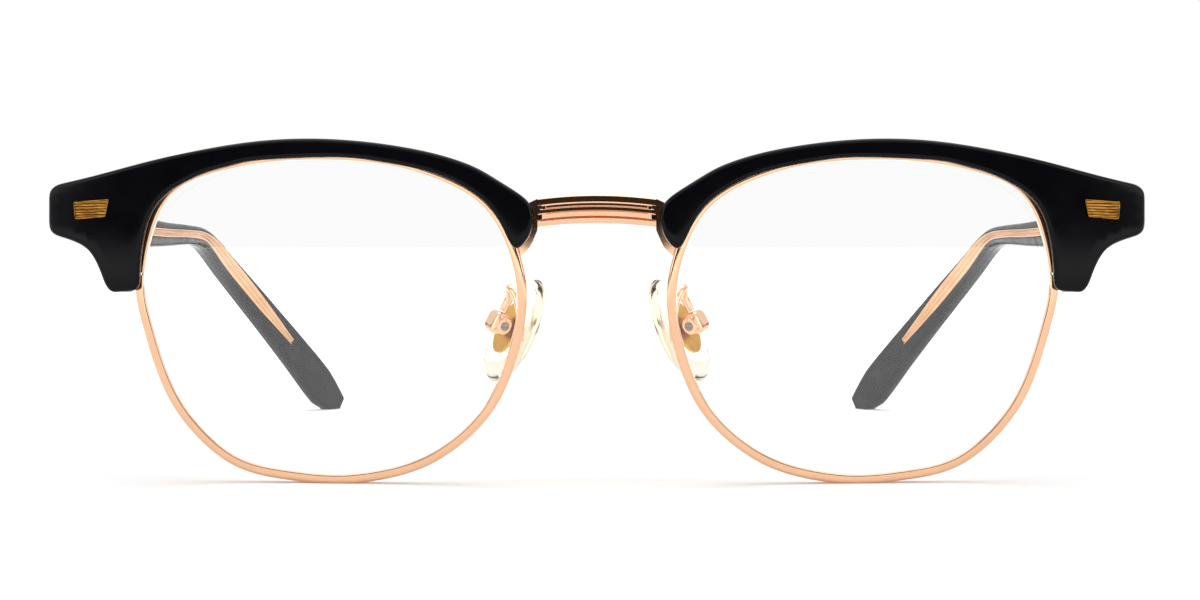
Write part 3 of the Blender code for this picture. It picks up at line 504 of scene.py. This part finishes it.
def brow(side, tag):
    front = edge_round(0.55, 6, lambda x, z: front_y(x, z) - PROUD)
    back = [(inset, lambda x, z, d=d: 2 * brow_back(x, z) - d(x, z))
            for inset, d in reversed(edge_round(0.3, 3, brow_back))]
    obj = new_object(f"{tag}_brow_fine", plate(brow_line, front + back, net(brow_line, 1.1, 1.1)), side)
    bend = offset(aperture, 0) + offset(aperture, -3)[::2] + offset(aperture, -9)[::4]
    step = new_object("step", plate(offset(aperture, RIM_WIDTH + FIT), [
        (0, lambda x, z: front_y(x, z) - FIT), (0, lambda x, z: front_y(x, z) + 20)], bend), side)
    tail = [(55, 22), (60, 22), (66, 22), (66, 29.4), (60, 29.4), (55, 29.4)]
    thin = new_object("tail", plate(tail, [
        (0, lambda x, z: front_y(x, z) - 3 * FIT), (0, lambda x, z: 21)]), side)
    bed = new_object("bed", plate(soften(offset(PLAQUE, 0.05), 0.2, 2), [
        (0, lambda x, z: front_y(x, z) - 4), (0, lambda x, z: front_y(x, z) - PROUD + 0.6)]), side)
    holes = [new_object("hole", round_bar((x, brow_back(x, z) - 1.8, z), (0, 1, 0),
                                          [(0.56, 0), (0.56, 6)]), side)
             for x, z in ((13.2, 37.4), (62.4, 35.3))]
    carve(obj, step, thin, bed, *holes)
    finish_piece(obj, black_acetate, "front", [f"{tag}_brow"], 38)


for side, tag in SIDES:
    brow(side, tag)

# %% [markdown]
# Geometry Nodes suit what repeats. The plaque is a stamped plate whose ribs run across it, each a little
# longer than the one below. The tree spaces unit bars up a line and scales each by its place in the row.

# %% A tree for the ribs of a plaque
def new_tree(name, numbers):
    tree = bpy.data.node_groups.new(name, "GeometryNodeTree")
    tree.interface.new_socket("Geometry", in_out="INPUT", socket_type="NodeSocketGeometry")
    for label, value in numbers.items():
        kind = "NodeSocketInt" if isinstance(value, int) else "NodeSocketFloat"
        tree.interface.new_socket(label, in_out="INPUT", socket_type=kind).default_value = value
    tree.interface.new_socket("Geometry", in_out="OUTPUT", socket_type="NodeSocketGeometry")
    return tree, add(tree, "NodeGroupInput"), add(tree, "NodeGroupOutput")


def end_tree(tree, out, geometry, material):
    real = add(tree, "GeometryNodeRealizeInstances", n0=geometry)
    done = add(tree, "GeometryNodeSetMaterial", {"Material": material}, n0=real.outputs[0])
    tree.links.new(done.outputs[0], out.inputs[0])


def run_tree(obj, tree, values):
    """Runs a tree on an object with the given inputs and keeps the result as a plain mesh object."""
    mod = obj.modifiers.new("nodes", "NODES")
    mod.node_group = tree
    ids = {item.name: item.identifier for item in tree.interface.items_tree if item.in_out == "INPUT"}
    for label, value in values.items():
        mod[ids[label]] = value
    obj.update_tag()
    graph = bpy.context.evaluated_depsgraph_get()
    mesh = bpy.data.meshes.new_from_object(obj.evaluated_get(graph))
    name = obj.name
    bpy.data.objects.remove(obj)
    made = bpy.data.objects.new(name, mesh)
    bpy.context.scene.collection.objects.link(made)
    return made


def rib_tree():
    tree, inp, out = new_tree("plaque_ribs", {"Ribs": 7, "Pitch": 0.33, "Bottom length": 4.1, "Top length": 4.8,
                                              "Rib height": 0.26})
    gap = add(tree, "ShaderNodeCombineXYZ", n2=inp.outputs["Pitch"])
    row = add(tree, "GeometryNodeMeshLine", Count=inp.outputs["Ribs"], Offset=gap.outputs[0])
    index = add(tree, "GeometryNodeInputIndex")
    share = add(tree, "ShaderNodeMath", {"operation": "DIVIDE"}, n0=index.outputs[0], n1=inp.outputs["Ribs"])
    length = add(tree, "ShaderNodeMix", n0=share.outputs[0], n2=inp.outputs["Bottom length"],
                 n3=inp.outputs["Top length"])
    size = add(tree, "ShaderNodeCombineXYZ", n0=length.outputs[0], n1=inp.outputs["Rib height"],
               n2=inp.outputs["Rib height"])
    bar = add(tree, "GeometryNodeMeshCylinder", {"Vertices": 12, "Radius": 0.5, "Depth": 1.0})
    lie = add(tree, "GeometryNodeTransform", {"Rotation": (0, math.pi / 2, 0)}, n0=bar.outputs[0])
    put = add(tree, "GeometryNodeInstanceOnPoints", Points=row.outputs[0], Instance=lie.outputs[0],
              Scale=size.outputs[0])
    end_tree(tree, out, put.outputs[0], brass_plaque)
    return tree


ribs = rib_tree()
print("tree", ribs.name, "nodes", len(ribs.nodes))

# %% [markdown]
# A plaque is three pieces: a dark stamped ground, a border that stands round it, and the ribs. The ribs are
# made flat by the tree, then laid on the curve of the front point by point.

# %% Plaques
def empty_mesh(name):
    obj = bpy.data.objects.new(name, bpy.data.meshes.new(name))
    bpy.context.scene.collection.objects.link(obj)
    return obj


def plaque(side, tag):
    face = lambda x, z: front_y(x, z) - PROUD - 0.1
    line = soften(PLAQUE, 0.2, 2)
    back = [(0, lambda x, z: front_y(x, z) - PROUD + 0.5)]
    base = plate(line, edge_round(0.12, 2, face) + back, net(PLAQUE, 1.2, 0.5))
    finish_piece(new_object(f"{tag}_plaque_plate", base, side), brass_ground, "front",
                 [f"{tag}_brow_plaque"])
    rails = [(offset(line, r), d) for r, d in ((-0.12, -0.1), (-0.12, -0.2), (-0.02, -0.2), (-0.02, -0.1))]
    count = len(line)
    frame_rings = [[(rail[i][0], face(*rail[i]) + d, rail[i][1]) for rail, d in rails] for i in range(count)]
    bm = bmesh.new()
    grid = [[bm.verts.new(p) for p in ring] for ring in frame_rings]
    for a, b in zip(grid, grid[1:] + grid[:1]):
        for k in range(4):
            bm.faces.new((a[k], a[(k + 1) % 4], b[(k + 1) % 4], b[k]))
    finish_piece(new_object(f"{tag}_plaque_border", bm, side), brass_plaque, "front")
    bars = run_tree(empty_mesh(f"{tag}_plaque_ribs"), ribs, {"Ribs": 6, "Pitch": 0.36, "Rib height": 0.3,
                                                             "Bottom length": 3.95, "Top length": 4.75})
    for v in bars.data.vertices:
        x, z = v.co.x + 65.03 - 0.03 * v.co.z, v.co.z + 34.22 - 0.02 * v.co.x
        v.co = Vector((x * side, front_y(x, z) - PROUD - 0.12 + v.co.y * 0.9 + SHIFT, z)) * 0.001
    if side < 0:
        bars.data.flip_normals()
    finish_piece(bars, brass_plaque, "front")


for side, tag in SIDES:
    plaque(side, tag)

# %% [markdown]
# The bridge is cast and polished: a thin raised bar above, a fat one below, a rolled lower lip, and a foot at
# each end that is brazed to the back of an eyewire. One section swept across, and flattened at the feet,
# gives all of it.

# %% Bridge
def rounded(points, radius, steps=3, hold=0.0):
    """Rounds each corner of a closed profile with a small arc. Hold adds a point just past each end of the arc,
    so that the flat between two corners keeps a truly flat shade."""
    out = []
    for i, p in enumerate(points):
        a, b, c = Vector(points[i - 1]), Vector(p), Vector(points[(i + 1) % len(points)])
        near = min(radius, (a - b).length * 0.45, (c - b).length * 0.45)
        p0, p2 = b + (a - b).normalized() * near, b + (c - b).normalized() * near
        if hold:
            out.append(tuple(p0 + (a - b).normalized() * hold))
        for k in range(steps + 1):
            t = k / steps
            out.append(tuple((1 - t) ** 2 * p0 + 2 * t * (1 - t) * b + t * t * p2))
        if hold:
            out.append(tuple(p2 + (c - b).normalized() * hold))
    return out


def bridge():
    back = RIM_DEPTH + FIT
    profile = [(-0.1, 33.3), (-0.32, 33.36), (-0.5, 33.98), (-0.12, 34.06), (-0.2, 34.14), (-0.42, 34.22),
               (-0.68, 34.78), (-0.12, 34.92), (-0.1, 35.42), (-0.48, 35.5), (-0.48, 35.9), (-0.08, 35.98),
               (-0.05, 36.78), (0.1, 36.9), (back + 0.4, 36.9), (back + 0.8, 36.5), (back + 0.8, 33.65),
               (back + 0.5, 33.3)]
    section = rounded(profile, 0.055, 3, 0.012)
    rows = [(7.5 * k / 30, -0.5, 0.0) for k in range(31)]
    rows += [(7.56, back * 0.6, -0.35), (7.62, back, -0.5)]
    rows += [(x, back, f) for x, f in ((7.9, -1.1), (8.2, -1.75), (8.6, -2.45), (9.1, -3.0), (9.7, -3.35),
                                       (10.3, -3.3), (10.8, -2.9), (11.0, -2.5))]
    rings = []
    for x, front, foot in [(-r[0], *r[1:]) for r in reversed(rows[1:])] + rows:
        drop, reach = -0.65 * (x / 8.7) ** 2, abs(x)
        trim = 0.0 if reach < 7.55 else -0.35 * (reach - 7.6)
        ridge, bar = 1 - ease((reach - 6.9) / 0.5), 1 - ease((reach - 6.4) / 0.5)
        ring = []
        for depth, z in section:
            share = (z - 33.3) / 3.55
            gz = z + drop + foot * (1 - share) + trim * share
            if front > 0:
                ring.append((x, front_y(x, gz) + max(depth, front), gz))
                continue
            if depth < -0.1 and z > 34.1:
                depth = -0.1 + (depth + 0.1) * (bar if z > 35.2 else ridge)
            ring.append((x, front_y(7.6, gz) + depth - 0.6 * (1 - (x / 7.6) ** 2), gz))
        rings.append(ring)
    finish_piece(new_object("bridge_fine", loft(rings), 1), rose_gold, "front", ["bridge"], 50)


bridge()

# %% [markdown]
# A temple is laminated: black sheet outside, smoke sheet inside, and a springy metal core between them that
# is shot in hot. It tapers to a slim neck before the ear and swells again into the tip. One table of places
# and sizes along its length drives all three layers, so they nest all the way down the bend.

# %% Temple layers
# along the temple: place, distance from the middle, top, height, thickness, how far the section sinks
TEMPLE = [(10.4, 67.8, 38.0, 5.9, 3.2, 0), (15.0, 67.8, 37.9, 6.0, 3.2, 0), (20.0, 67.8, 37.6, 6.0, 3.2, 0),
          (30.0, 67.6, 36.8, 5.9, 3.2, 0), (48.0, 67.0, 34.9, 4.8, 3.1, 0), (66.0, 66.3, 33.9, 3.8, 3.0, 0),
          (86.0, 65.5, 33.4, 3.1, 3.0, 0), (97.0, 65.1, 32.9, 3.2, 3.0, 0), (104.0, 64.3, 31.3, 3.7, 3.0, 0),
          (110.0, 62.6, 28.2, 4.2, 3.0, 0), (116.0, 60.1, 24.2, 4.6, 3.0, 0), (122.0, 56.8, 19.2, 5.1, 2.9, 0),
          (129.0, 52.6, 12.9, 5.8, 2.8, 0), (135.0, 48.9, 7.1, 6.4, 2.7, 0), (137.4, 47.4, 4.25, 5.6, 2.5, 0.3),
          (139.0, 46.5, 3.0, 3.6, 2.1, 1.0)]
CORE = [(14.0, 2.6), (20.0, 2.6), (24.0, 1.5), (60.0, 1.4), (96.0, 1.5), (106.0, 2.7), (118.0, 2.5),
        (127.0, 1.1)]
TEMPLE_START, TEMPLE_END = TEMPLE[0][0], TEMPLE[-1][0]
CORE_START, CORE_END = CORE[0][0], CORE[-1][0]
SPLIT = 1.25
STRAIGHT_TO = 20


def temple_ring(d, section):
    x, z, height, thick, inset = at_y(TEMPLE, d)
    here = Vector((x, d, z))
    low, high = max(d - 0.6, TEMPLE_START), min(d + 0.6, TEMPLE_END)
    near = [at_y(TEMPLE, low), at_y(TEMPLE, high)]
    span = high - low
    ahead = Vector((near[1][0] - near[0][0], span, near[1][1] - near[0][1])).normalized()
    if d < STRAIGHT_TO:
        ahead = Vector((0, 1, 0))
    inward = Vector((-ahead.y, ahead.x, 0)).normalized()
    up = ahead.cross(inward)
    out = []
    for outward, down in section(height, thick):
        p = here - inward * outward - up * (down + inset)
        out.append(Vector((p.x, p.y, max(p.z, 0.0))))
    return out


def steps(low, high, pitch):
    count = math.ceil((high - low) / pitch)
    return [low + (high - low) * k / count for k in range(count + 1)]


def outer_section(h, t):
    c = min(0.75, 0.24 * h)
    a = SPLIT + FIT
    return [(a, 0)] + [(t - c + c * math.sin(q), c - c * math.cos(q)) for q in quarter] + [
        (t - c + c * math.cos(q), h - c + c * math.sin(q)) for q in quarter] + [(a, h)]


def lining_section(h, t):
    c = min(0.65, 0.21 * h)
    return [(SPLIT, 0)] + [(c - c * math.sin(q), c - c * math.cos(q)) for q in quarter] + [
        (c - c * math.cos(q), h - c + c * math.sin(q)) for q in quarter] + [(SPLIT, h)]


quarter = [math.pi / 2 * k / 5 for k in range(6)]


def core_ring(d, extra):
    core = at_y(CORE, min(max(d, CORE_START), CORE_END))[0]
    face = 0.03

    def section(h, t):
        top, low = 0.45 * h - core / 2 - extra, 0.45 * h + core / 2 + extra
        if extra:
            return [(-0.3, top), (SPLIT + 0.3, top), (SPLIT + 0.3, low), (-0.3, low)]
        third, dent = core / 3, 0.24
        line = [(face, top + 0.05)]
        for k in (1, 2):
            at = top + third * k
            line += [(face, at - dent), (face + dent, at), (face, at + dent)]
        return line + [(face, low - 0.05), (face + 0.05, low), (SPLIT - 0.02, low), (SPLIT - 0.02, top),
                       (face + 0.05, top)]
    return temple_ring(d, section)


def temple(side, tag):
    stations = steps(TEMPLE_START, TEMPLE_END, 1.3)
    body = f"{tag}_temple"
    outer = new_object(f"{tag}_temple_black", loft([temple_ring(d, outer_section) for d in stations]), side)
    finish_piece(outer, black_acetate, body, [f"{tag}_temple_outer"], 40)
    lining = new_object(f"{tag}_temple_smoke", loft([temple_ring(d, lining_section) for d in stations]), side)
    cut_at = [CORE_START - 0.07] + steps(CORE_START + 0.2, CORE_END - 0.1, 1.3) + [CORE_END + 0.07]
    slot = loft([core_ring(d, 0.07) for d in cut_at])
    bmesh.ops.triangulate(slot, faces=slot.faces[:])
    carve(lining, new_object("slot", slot, side))
    finish_piece(lining, smoke_acetate, body, [f"{tag}_temple_lining"], 40)
    core = new_object(f"{tag}_core", loft([core_ring(d, 0) for d in steps(CORE_START, CORE_END, 1.0)]), side)
    finish_piece(core, core_gold, body, [f"{tag}_core_wire"], 30)


for side, tag in SIDES:
    temple(side, tag)

# %% [markdown]
# The nose pads are soft silicone drops on a metal plate. Each one hangs in a small cup on a bent wire, and
# rocks on its screw to lie flat on the nose. Everything about a pad is drawn in its own three directions:
# along it, across it, and towards the nose.

# %% Nose pads
LEAN, SPLAY = math.radians(26), math.radians(48)
PAD_AT, PIVOT = Vector((10.7, 10.4, 19.4)), 3.2
along = Vector((math.sin(LEAN), 0, -math.cos(LEAN)))
across = Vector((math.cos(LEAN), 0, math.sin(LEAN))) * math.cos(SPLAY) + Vector((0, 1, 0)) * math.sin(SPLAY)
nose = along.cross(across) * -1


def in_pad(u, v, w):
    return PAD_AT + along * u + across * v + nose * w


def nose_pad(side, tag):
    rings = []
    profile = [(0.1, 1.0), (0.4, 0.99), (0.7, 0.86), (0.86, 0.68), (0.95, 0.42), (0.99, 0.15), (1.0, -0.05),
               (0.98, -0.3), (0.93, -0.55), (0.85, -0.75), (0.74, -0.87), (0.6, -0.9), (0.3, -0.9), (0.1, -0.9)]
    for scale, w in profile:
        turns = [2 * math.pi * k / 72 for k in range(72)]
        rings.append([in_pad(7.25 * scale * math.cos(a), 4.0 * scale * math.sin(a) * (1 + 0.1 * math.cos(a)), w)
                      for a in turns])
    finish_piece(new_object(f"{tag}_pad_soft", loft(rings), side), silicone, f"{tag}_pad",
                 [f"{tag}_nose_pad"], 50)


for side, tag in SIDES:
    nose_pad(side, tag)

# %% [markdown]
# The arm is a length of round wire bent up and over behind the eyewire. Curve to Mesh sweeps a circle along
# the bend, which is just how drawn wire looks.

# %% A tree for bent wire
def wire_tree():
    tree, inp, out = new_tree("bent_wire", {"Radius": 0.00055, "Sides": 20})
    ring = add(tree, "GeometryNodeCurvePrimitiveCircle", Radius=inp.outputs["Radius"],
               Resolution=inp.outputs["Sides"])
    sweep = add(tree, "GeometryNodeCurveToMesh", {"Fill Caps": True}, n0=inp.outputs["Geometry"],
                n1=ring.outputs[0])
    end_tree(tree, out, sweep.outputs[0], rose_gold)
    return tree


def pad_arm(side, tag, tree):
    foot = Vector((9.95, front_y(9.95, 18.2) + RIM_DEPTH + FIT + 0.55, 18.2))
    end = in_pad(-1.6, 0, -3.4)
    key = [tuple(foot), (9.8, foot.y + 0.3, 20.6), (10.2, foot.y + 1.2, 23.3), (11.2, foot.y + 2.6, 25.0),
           tuple(end - along * 2.2 + Vector((0, -0.4, 0))), tuple(end - along * 0.8), tuple(end)]
    curve = bpy.data.curves.new(f"{tag}_arm_wire", "CURVE")
    curve.dimensions = "3D"
    points = through(key, 10)
    spline = curve.splines.new("POLY")
    spline.points.add(len(points) - 1)
    for slot, (x, y, z) in zip(spline.points, points):
        slot.co = (x * side / 1000, (y + SHIFT) / 1000, z / 1000, 1)
    obj = bpy.data.objects.new(f"{tag}_arm_wire", curve)
    bpy.context.scene.collection.objects.link(obj)
    made = run_tree(obj, tree, {"Radius": 0.00055, "Sides": 20})
    finish_piece(made, rose_gold, "front", [f"{tag}_pad_arm"], 50)


wires = wire_tree()
for side, tag in SIDES:
    pad_arm(side, tag, wires)

# %% [markdown]
# Ten small screws hold the frame together, all of one pattern: a plain shank, a chamfered head and a slot.
# One tree with the sizes as inputs makes every one.

# %% A tree for slotted screws
def screw_tree():
    tree, inp, out = new_tree("slotted_screw", {"Head radius": 0.9, "Head height": 0.5, "Shank radius": 0.5,
                                                "Length": 2.0, "Slot": 0.28})

    def half(source, sign=1):
        return add(tree, "ShaderNodeMath", {"operation": "MULTIPLY", 1: 0.5 * sign}, n0=source).outputs[0]

    lift = lambda source: add(tree, "ShaderNodeCombineXYZ", n2=source).outputs[0]
    head_r, head_h = inp.outputs["Head radius"], inp.outputs["Head height"]
    low = half(head_h)
    head = add(tree, "GeometryNodeMeshCylinder", {"Vertices": 40}, Radius=head_r, Depth=low)
    head_at = add(tree, "GeometryNodeTransform", n0=head.outputs[0])
    quarter_up = half(low)
    tree.links.new(lift(quarter_up), head_at.inputs["Translation"])
    small = add(tree, "ShaderNodeMath", {"operation": "MULTIPLY", 1: 0.8}, n0=head_r)
    top = add(tree, "GeometryNodeMeshCone", {"Vertices": 40}, n3=small.outputs[0], n4=head_r, n5=low)
    top_at = add(tree, "GeometryNodeTransform", n0=top.outputs[0])
    tree.links.new(lift(low), top_at.inputs["Translation"])
    shank = add(tree, "GeometryNodeMeshCylinder", {"Vertices": 28}, Radius=inp.outputs["Shank radius"],
                Depth=inp.outputs["Length"])
    shank_at = add(tree, "GeometryNodeTransform", n0=shank.outputs[0])
    tree.links.new(lift(half(inp.outputs["Length"], -1)), shank_at.inputs["Translation"])
    wide = add(tree, "ShaderNodeMath", {"operation": "MULTIPLY", 1: 3.0}, n0=head_r)
    bar = add(tree, "ShaderNodeCombineXYZ", n0=wide.outputs[0], n1=inp.outputs["Slot"], n2=head_h)
    slot = add(tree, "GeometryNodeMeshCube", Size=bar.outputs[0])
    slot_at = add(tree, "GeometryNodeTransform", n0=slot.outputs[0])
    tree.links.new(lift(head_h), slot_at.inputs["Translation"])
    join = add(tree, "GeometryNodeJoinGeometry")
    for part in (shank_at, top_at, head_at):
        tree.links.new(part.outputs[0], join.inputs[0])
    cut = add(tree, "GeometryNodeMeshBoolean", {"operation": "DIFFERENCE", "solver": "EXACT"}, n0=join.outputs[0],
              n1=slot_at.outputs[0])
    cut.inputs["Self Intersection"].default_value = True
    end_tree(tree, out, cut.outputs[0], screw_steel)
    return tree


def screw(side, tag, name, body, origin, axis, head_r, head_h, radius, length, tree):
    obj = run_tree(empty_mesh(f"{tag}_{name}_turned"), tree,
                   {"Head radius": head_r, "Head height": head_h, "Shank radius": radius, "Length": length})
    turn = Vector(axis).to_track_quat("Z", "Y").to_matrix().to_4x4()
    bm = bmesh.new()
    bm.from_mesh(obj.data)
    bm.transform(Matrix.Translation(origin) @ turn)
    settle(bm, side)
    bm.to_mesh(obj.data)
    bm.free()
    finish_piece(obj, screw_steel, body, [f"{tag}_{name}"], 30)


turned = screw_tree()
print("tree", turned.name, "nodes", len(turned.nodes))

# %% [markdown]
# A screw goes where the CAD model has it, so its box in the frame gives its place. The pad's screw leans with
# its pad, and uses the pad's own directions instead.

# %% Screws
def cad_centre(node):
    low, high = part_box(node)
    mid = (Vector(low) + Vector(high)) * 500
    return Vector((abs(mid.x), mid.y - SHIFT, mid.z)), Vector(high) * 1000, Vector(low) * 1000


for side, tag in SIDES:
    mid, high, low = cad_centre(f"{tag}_brow_screw")
    screw(side, tag, "brow_screw", "front", (mid.x, high.y - SHIFT - 0.5, mid.z), (0, 1, 0),
          0.95, 0.5, 0.5, 2.2, turned)
    mid, high, low = cad_centre(f"{tag}_end_screw")
    screw(side, tag, "end_screw", "front", (mid.x, high.y - SHIFT - 0.45, mid.z), (0, 1, 0),
          0.9, 0.45, 0.5, 2.3, turned)
    mid, high, low = cad_centre(f"{tag}_closing_screw")
    screw(side, tag, "closing_screw", "front", (mid.x, mid.y, low.z + 0.6), (0, 0, -1),
          0.9, 0.34, 0.5, 3.6, turned)
    mid, high, low = cad_centre(f"{tag}_hinge_screw")
    screw(side, tag, "hinge_screw", f"{tag}_temple", (mid.x, mid.y, high.z - 0.6), (0, 0, 1),
          1.1, 0.6, 0.7, 5.3, turned)
    screw(side, tag, "pad_screw", "front", in_pad(0, -1.52, -PIVOT), -across,
          0.6, 0.3, 0.32, 2.6, turned)

# %% [markdown]
# The pad's cup is a tiny casting, soft all over. A lofted body with the slot for the pad's eye cut through
# it does well, with its edges rounded in the profile.

# %% Pad cups
def pad_cup(side, tag):
    lu, lv = 1.5, 1.3
    outline = rounded([(-lu, -lv), (lu, -lv), (lu, lv), (-lu, lv)], 1.1, 10)
    top = -PIVOT + 0.9
    levels = [(0.93, top), (0.98, top - 0.06), (1.0, top - 0.2), (1.0, top - 1.5), (0.97, top - 1.8),
              (0.88, top - 2.05), (0.72, top - 2.17), (0.4, top - 2.2)]
    body = loft([[in_pad(u * s, v * s, w) for u, v in outline] for s, w in levels])
    obj = new_object(f"{tag}_pad_cup", body, side)
    ring = [(-3, -0.55), (3, -0.55), (3, 0.55), (-3, 0.55)]
    slot = new_object("slot", loft([[in_pad(u, v, w) for u, v in ring] for w in (-PIVOT - 0.72, 0)]), side)
    bore = new_object("bore", round_bar(in_pad(0, -3, -PIVOT), across, [(0.38, 0), (0.38, 6)]), side)
    carve(obj, slot, bore)
    finish_piece(obj, rose_gold, "front", [f"{tag}_pad_box"], 35)
    # the round seat of the screw, a washer-like boss with a soft rim
    boss = [(0.36, 0.0), (1.12, 0.0), (1.15, 0.08), (1.15, 0.2), (1.1, 0.27), (1.02, 0.3), (0.36, 0.3)]
    turns = [2 * math.pi * k / 48 for k in range(48)]
    bm = bmesh.new()
    rows = [[bm.verts.new(in_pad(r * math.cos(a), -1.22 - h, -PIVOT + r * math.sin(a))) for a in turns]
            for r, h in boss]
    for a, b in zip(rows, rows[1:] + rows[:1]):
        for k in range(48):
            bm.faces.new((a[k], a[(k + 1) % 48], b[(k + 1) % 48], b[k]))
    finish_piece(new_object(f"{tag}_screw_seat", bm, side), rose_gold, "front", (), 35)


for side, tag in SIDES:
    pad_cup(side, tag)

# %% [markdown]
# What is left of the CAD model is already right: blocks, tabs, plates and hinges. They only need their finish
# and a small bevel, because no plated edge is truly sharp.

# %% Finish for the remaining metal pieces
for name, node in frame["nodes"].items():
    if node.hide_render:
        continue
    node.data.materials.clear()
    node.data.materials.append(pale_gold if name.endswith("pad_insert") else rose_gold)
    soft = node.modifiers.new("soft_edge", "BEVEL")
    soft.width, soft.segments, soft.limit_method, soft.angle_limit = 0.00009, 2, "ANGLE", math.radians(40)
    soft.harden_normals = False
    print("dressed", name)

# %% [markdown]
# The set is a sweep of white paper in a light tent. The paper glows by itself for camera, glossy and transmitted
# rays, more so further away, because the lamps reach only the middle of it.

# %% Floor
bm = bmesh.new()
bmesh.ops.create_grid(bm, x_segments=4, y_segments=4, size=6.0)
floor_mesh = bpy.data.meshes.new("paper_sweep")
bm.to_mesh(floor_mesh)
bm.free()
floor = bpy.data.objects.new("paper_sweep", floor_mesh)
floor.location.z = -0.00005
bpy.context.scene.collection.objects.link(floor)
paper, tree, shader = new_material("white_paper_matt", Roughness=0.9, Base_Color=paint("#F4F4F4"))
shader.inputs["Specular IOR Level"].default_value = 0.0
path = add(tree, "ShaderNodeLightPath")
seen = add(tree, "ShaderNodeMath", {"operation": "MAXIMUM"}, n0=path.outputs["Is Camera Ray"],
           n1=path.outputs["Is Transmission Ray"])
seen = add(tree, "ShaderNodeMath", {"operation": "MAXIMUM"}, n0=seen.outputs[0],
           n1=path.outputs["Is Glossy Ray"])
place = add(tree, "ShaderNodeTexCoord")
far = add(tree, "ShaderNodeVectorMath", {"operation": "LENGTH"}, n0=place.outputs["Object"])
# the lamps fall off with distance, and the paper takes over, so that it stays one even white
fall = add(tree, "ShaderNodeMapRange", {"interpolation_type": "SMOOTHSTEP", "From Min": 0.15, "From Max": 0.7,
                                        "To Min": 0.16, "To Max": 1.0}, Value=far.outputs["Value"])
glow = add(tree, "ShaderNodeMath", {"operation": "MULTIPLY"}, n0=seen.outputs[0], n1=fall.outputs["Result"])
shader.inputs["Emission Color"].default_value = (1, 1, 1, 1)
tree.links.new(glow.outputs[0], shader.inputs["Emission Strength"])
floor_mesh.materials.append(paper)

# %% [markdown]
# The world is the tent. The camera and rays straight through a clear piece see it pure white. Reflections see
# it slightly darker, with a dark window towards the camera. Rays that turn aside behind a clear piece see
# mostly white, so that silicone doesn't go grey inside.

# %% World
world = bpy.data.worlds.new("light_tent")
bpy.context.scene.world = world
world.use_nodes = True
tree = world.node_tree
tree.nodes.clear()
way = add(tree, "ShaderNodeTexCoord")
part = add(tree, "ShaderNodeSeparateXYZ", Vector=way.outputs["Generated"])
# the room round the camera is dark: a soft-edged window towards -Y, wider than it is high
side_way = add(tree, "ShaderNodeMath", {"operation": "ABSOLUTE"}, n0=part.outputs["X"])
up_way = add(tree, "ShaderNodeMath", {"operation": "ABSOLUTE"}, n0=part.outputs["Z"])
wide = add(tree, "ShaderNodeMapRange", {"interpolation_type": "SMOOTHSTEP", "From Min": 0.7, "From Max": 0.9},
           Value=side_way.outputs[0])
high = add(tree, "ShaderNodeMapRange", {"interpolation_type": "SMOOTHSTEP", "From Min": 0.32, "From Max": 0.6},
           Value=up_way.outputs[0])
behind = add(tree, "ShaderNodeMapRange", {"interpolation_type": "SMOOTHSTEP", "From Min": -0.1, "From Max": 0.1},
             Value=part.outputs["Y"])
open_ = add(tree, "ShaderNodeMath", {"operation": "MAXIMUM"}, n0=wide.outputs[0], n1=high.outputs[0])
open_ = add(tree, "ShaderNodeMath", {"operation": "MAXIMUM"}, n0=open_.outputs[0], n1=behind.outputs[0])
tent = add(tree, "ShaderNodeMapRange", {"To Min": 0.03, "To Max": 0.95}, Value=open_.outputs[0])
path = add(tree, "ShaderNodeLightPath")
glossy = add(tree, "ShaderNodeMix", {2: 0.55}, n0=path.outputs["Is Glossy Ray"], n3=tent.outputs[0])
plain = add(tree, "ShaderNodeMath", {"operation": "MAXIMUM"}, n0=path.outputs["Is Camera Ray"],
            n1=path.outputs["Is Transmission Ray"])
within = add(tree, "ShaderNodeMapRange", {"To Max": 0.7}, Value=path.outputs["Transmission Depth"])
plain = add(tree, "ShaderNodeMath", {"operation": "MAXIMUM"}, n0=plain.outputs[0], n1=within.outputs["Result"])
level = add(tree, "ShaderNodeMix", {3: 1.0}, n0=plain.outputs[0], n2=glossy.outputs[0])
sky = add(tree, "ShaderNodeBackground", {"Color": (1, 1, 1, 1)}, Strength=level.outputs[0])
add(tree, "ShaderNodeOutputWorld", Surface=sky.outputs[0])

# %% [markdown]
# One wide softbox hangs overhead for the soft shadow on the table, and a small one stands at each side for
# the long highlights. The camera stands a little above the middle of the frame and looks slightly down.

# %% Lamps and camera
def softbox(name, place, aim, size, power):
    light = bpy.data.lights.new(name, "AREA")
    light.shape, light.size, light.size_y, light.energy = "RECTANGLE", size[0], size[1], power
    obj = bpy.data.objects.new(name, light)
    obj.location = place
    obj.rotation_mode = "QUATERNION"
    obj.rotation_quaternion = (Vector(aim) - Vector(place)).to_track_quat("-Z", "Y")
    bpy.context.scene.collection.objects.link(obj)


softbox("overhead_softbox", (0, 0.05, 0.75), (0, 0, 0), (0.9, 0.7), 3.4)
softbox("left_softbox", (-0.7, -0.35, 0.35), (0, 0, 0.02), (0.35, 0.5), 0.8)
softbox("right_softbox", (0.7, -0.35, 0.35), (0, 0, 0.02), (0.35, 0.5), 0.8)

cam = bpy.data.cameras.new("camera")
cam.lens, cam.sensor_width, cam.clip_start, cam.clip_end = 71.2, 36.0, 0.01, 50.0
eye = bpy.data.objects.new("camera", cam)
eye.location = (0.0004, (SHIFT - 300.0) / 1000, 0.0316)
eye.rotation_euler = (math.radians(90 - 1.53), 0, 0)
bpy.context.scene.collection.objects.link(eye)
bpy.context.scene.camera = eye
bpy.context.scene.view_settings.view_transform = "Standard"
print("camera at", tuple(round(c, 4) for c in eye.location))
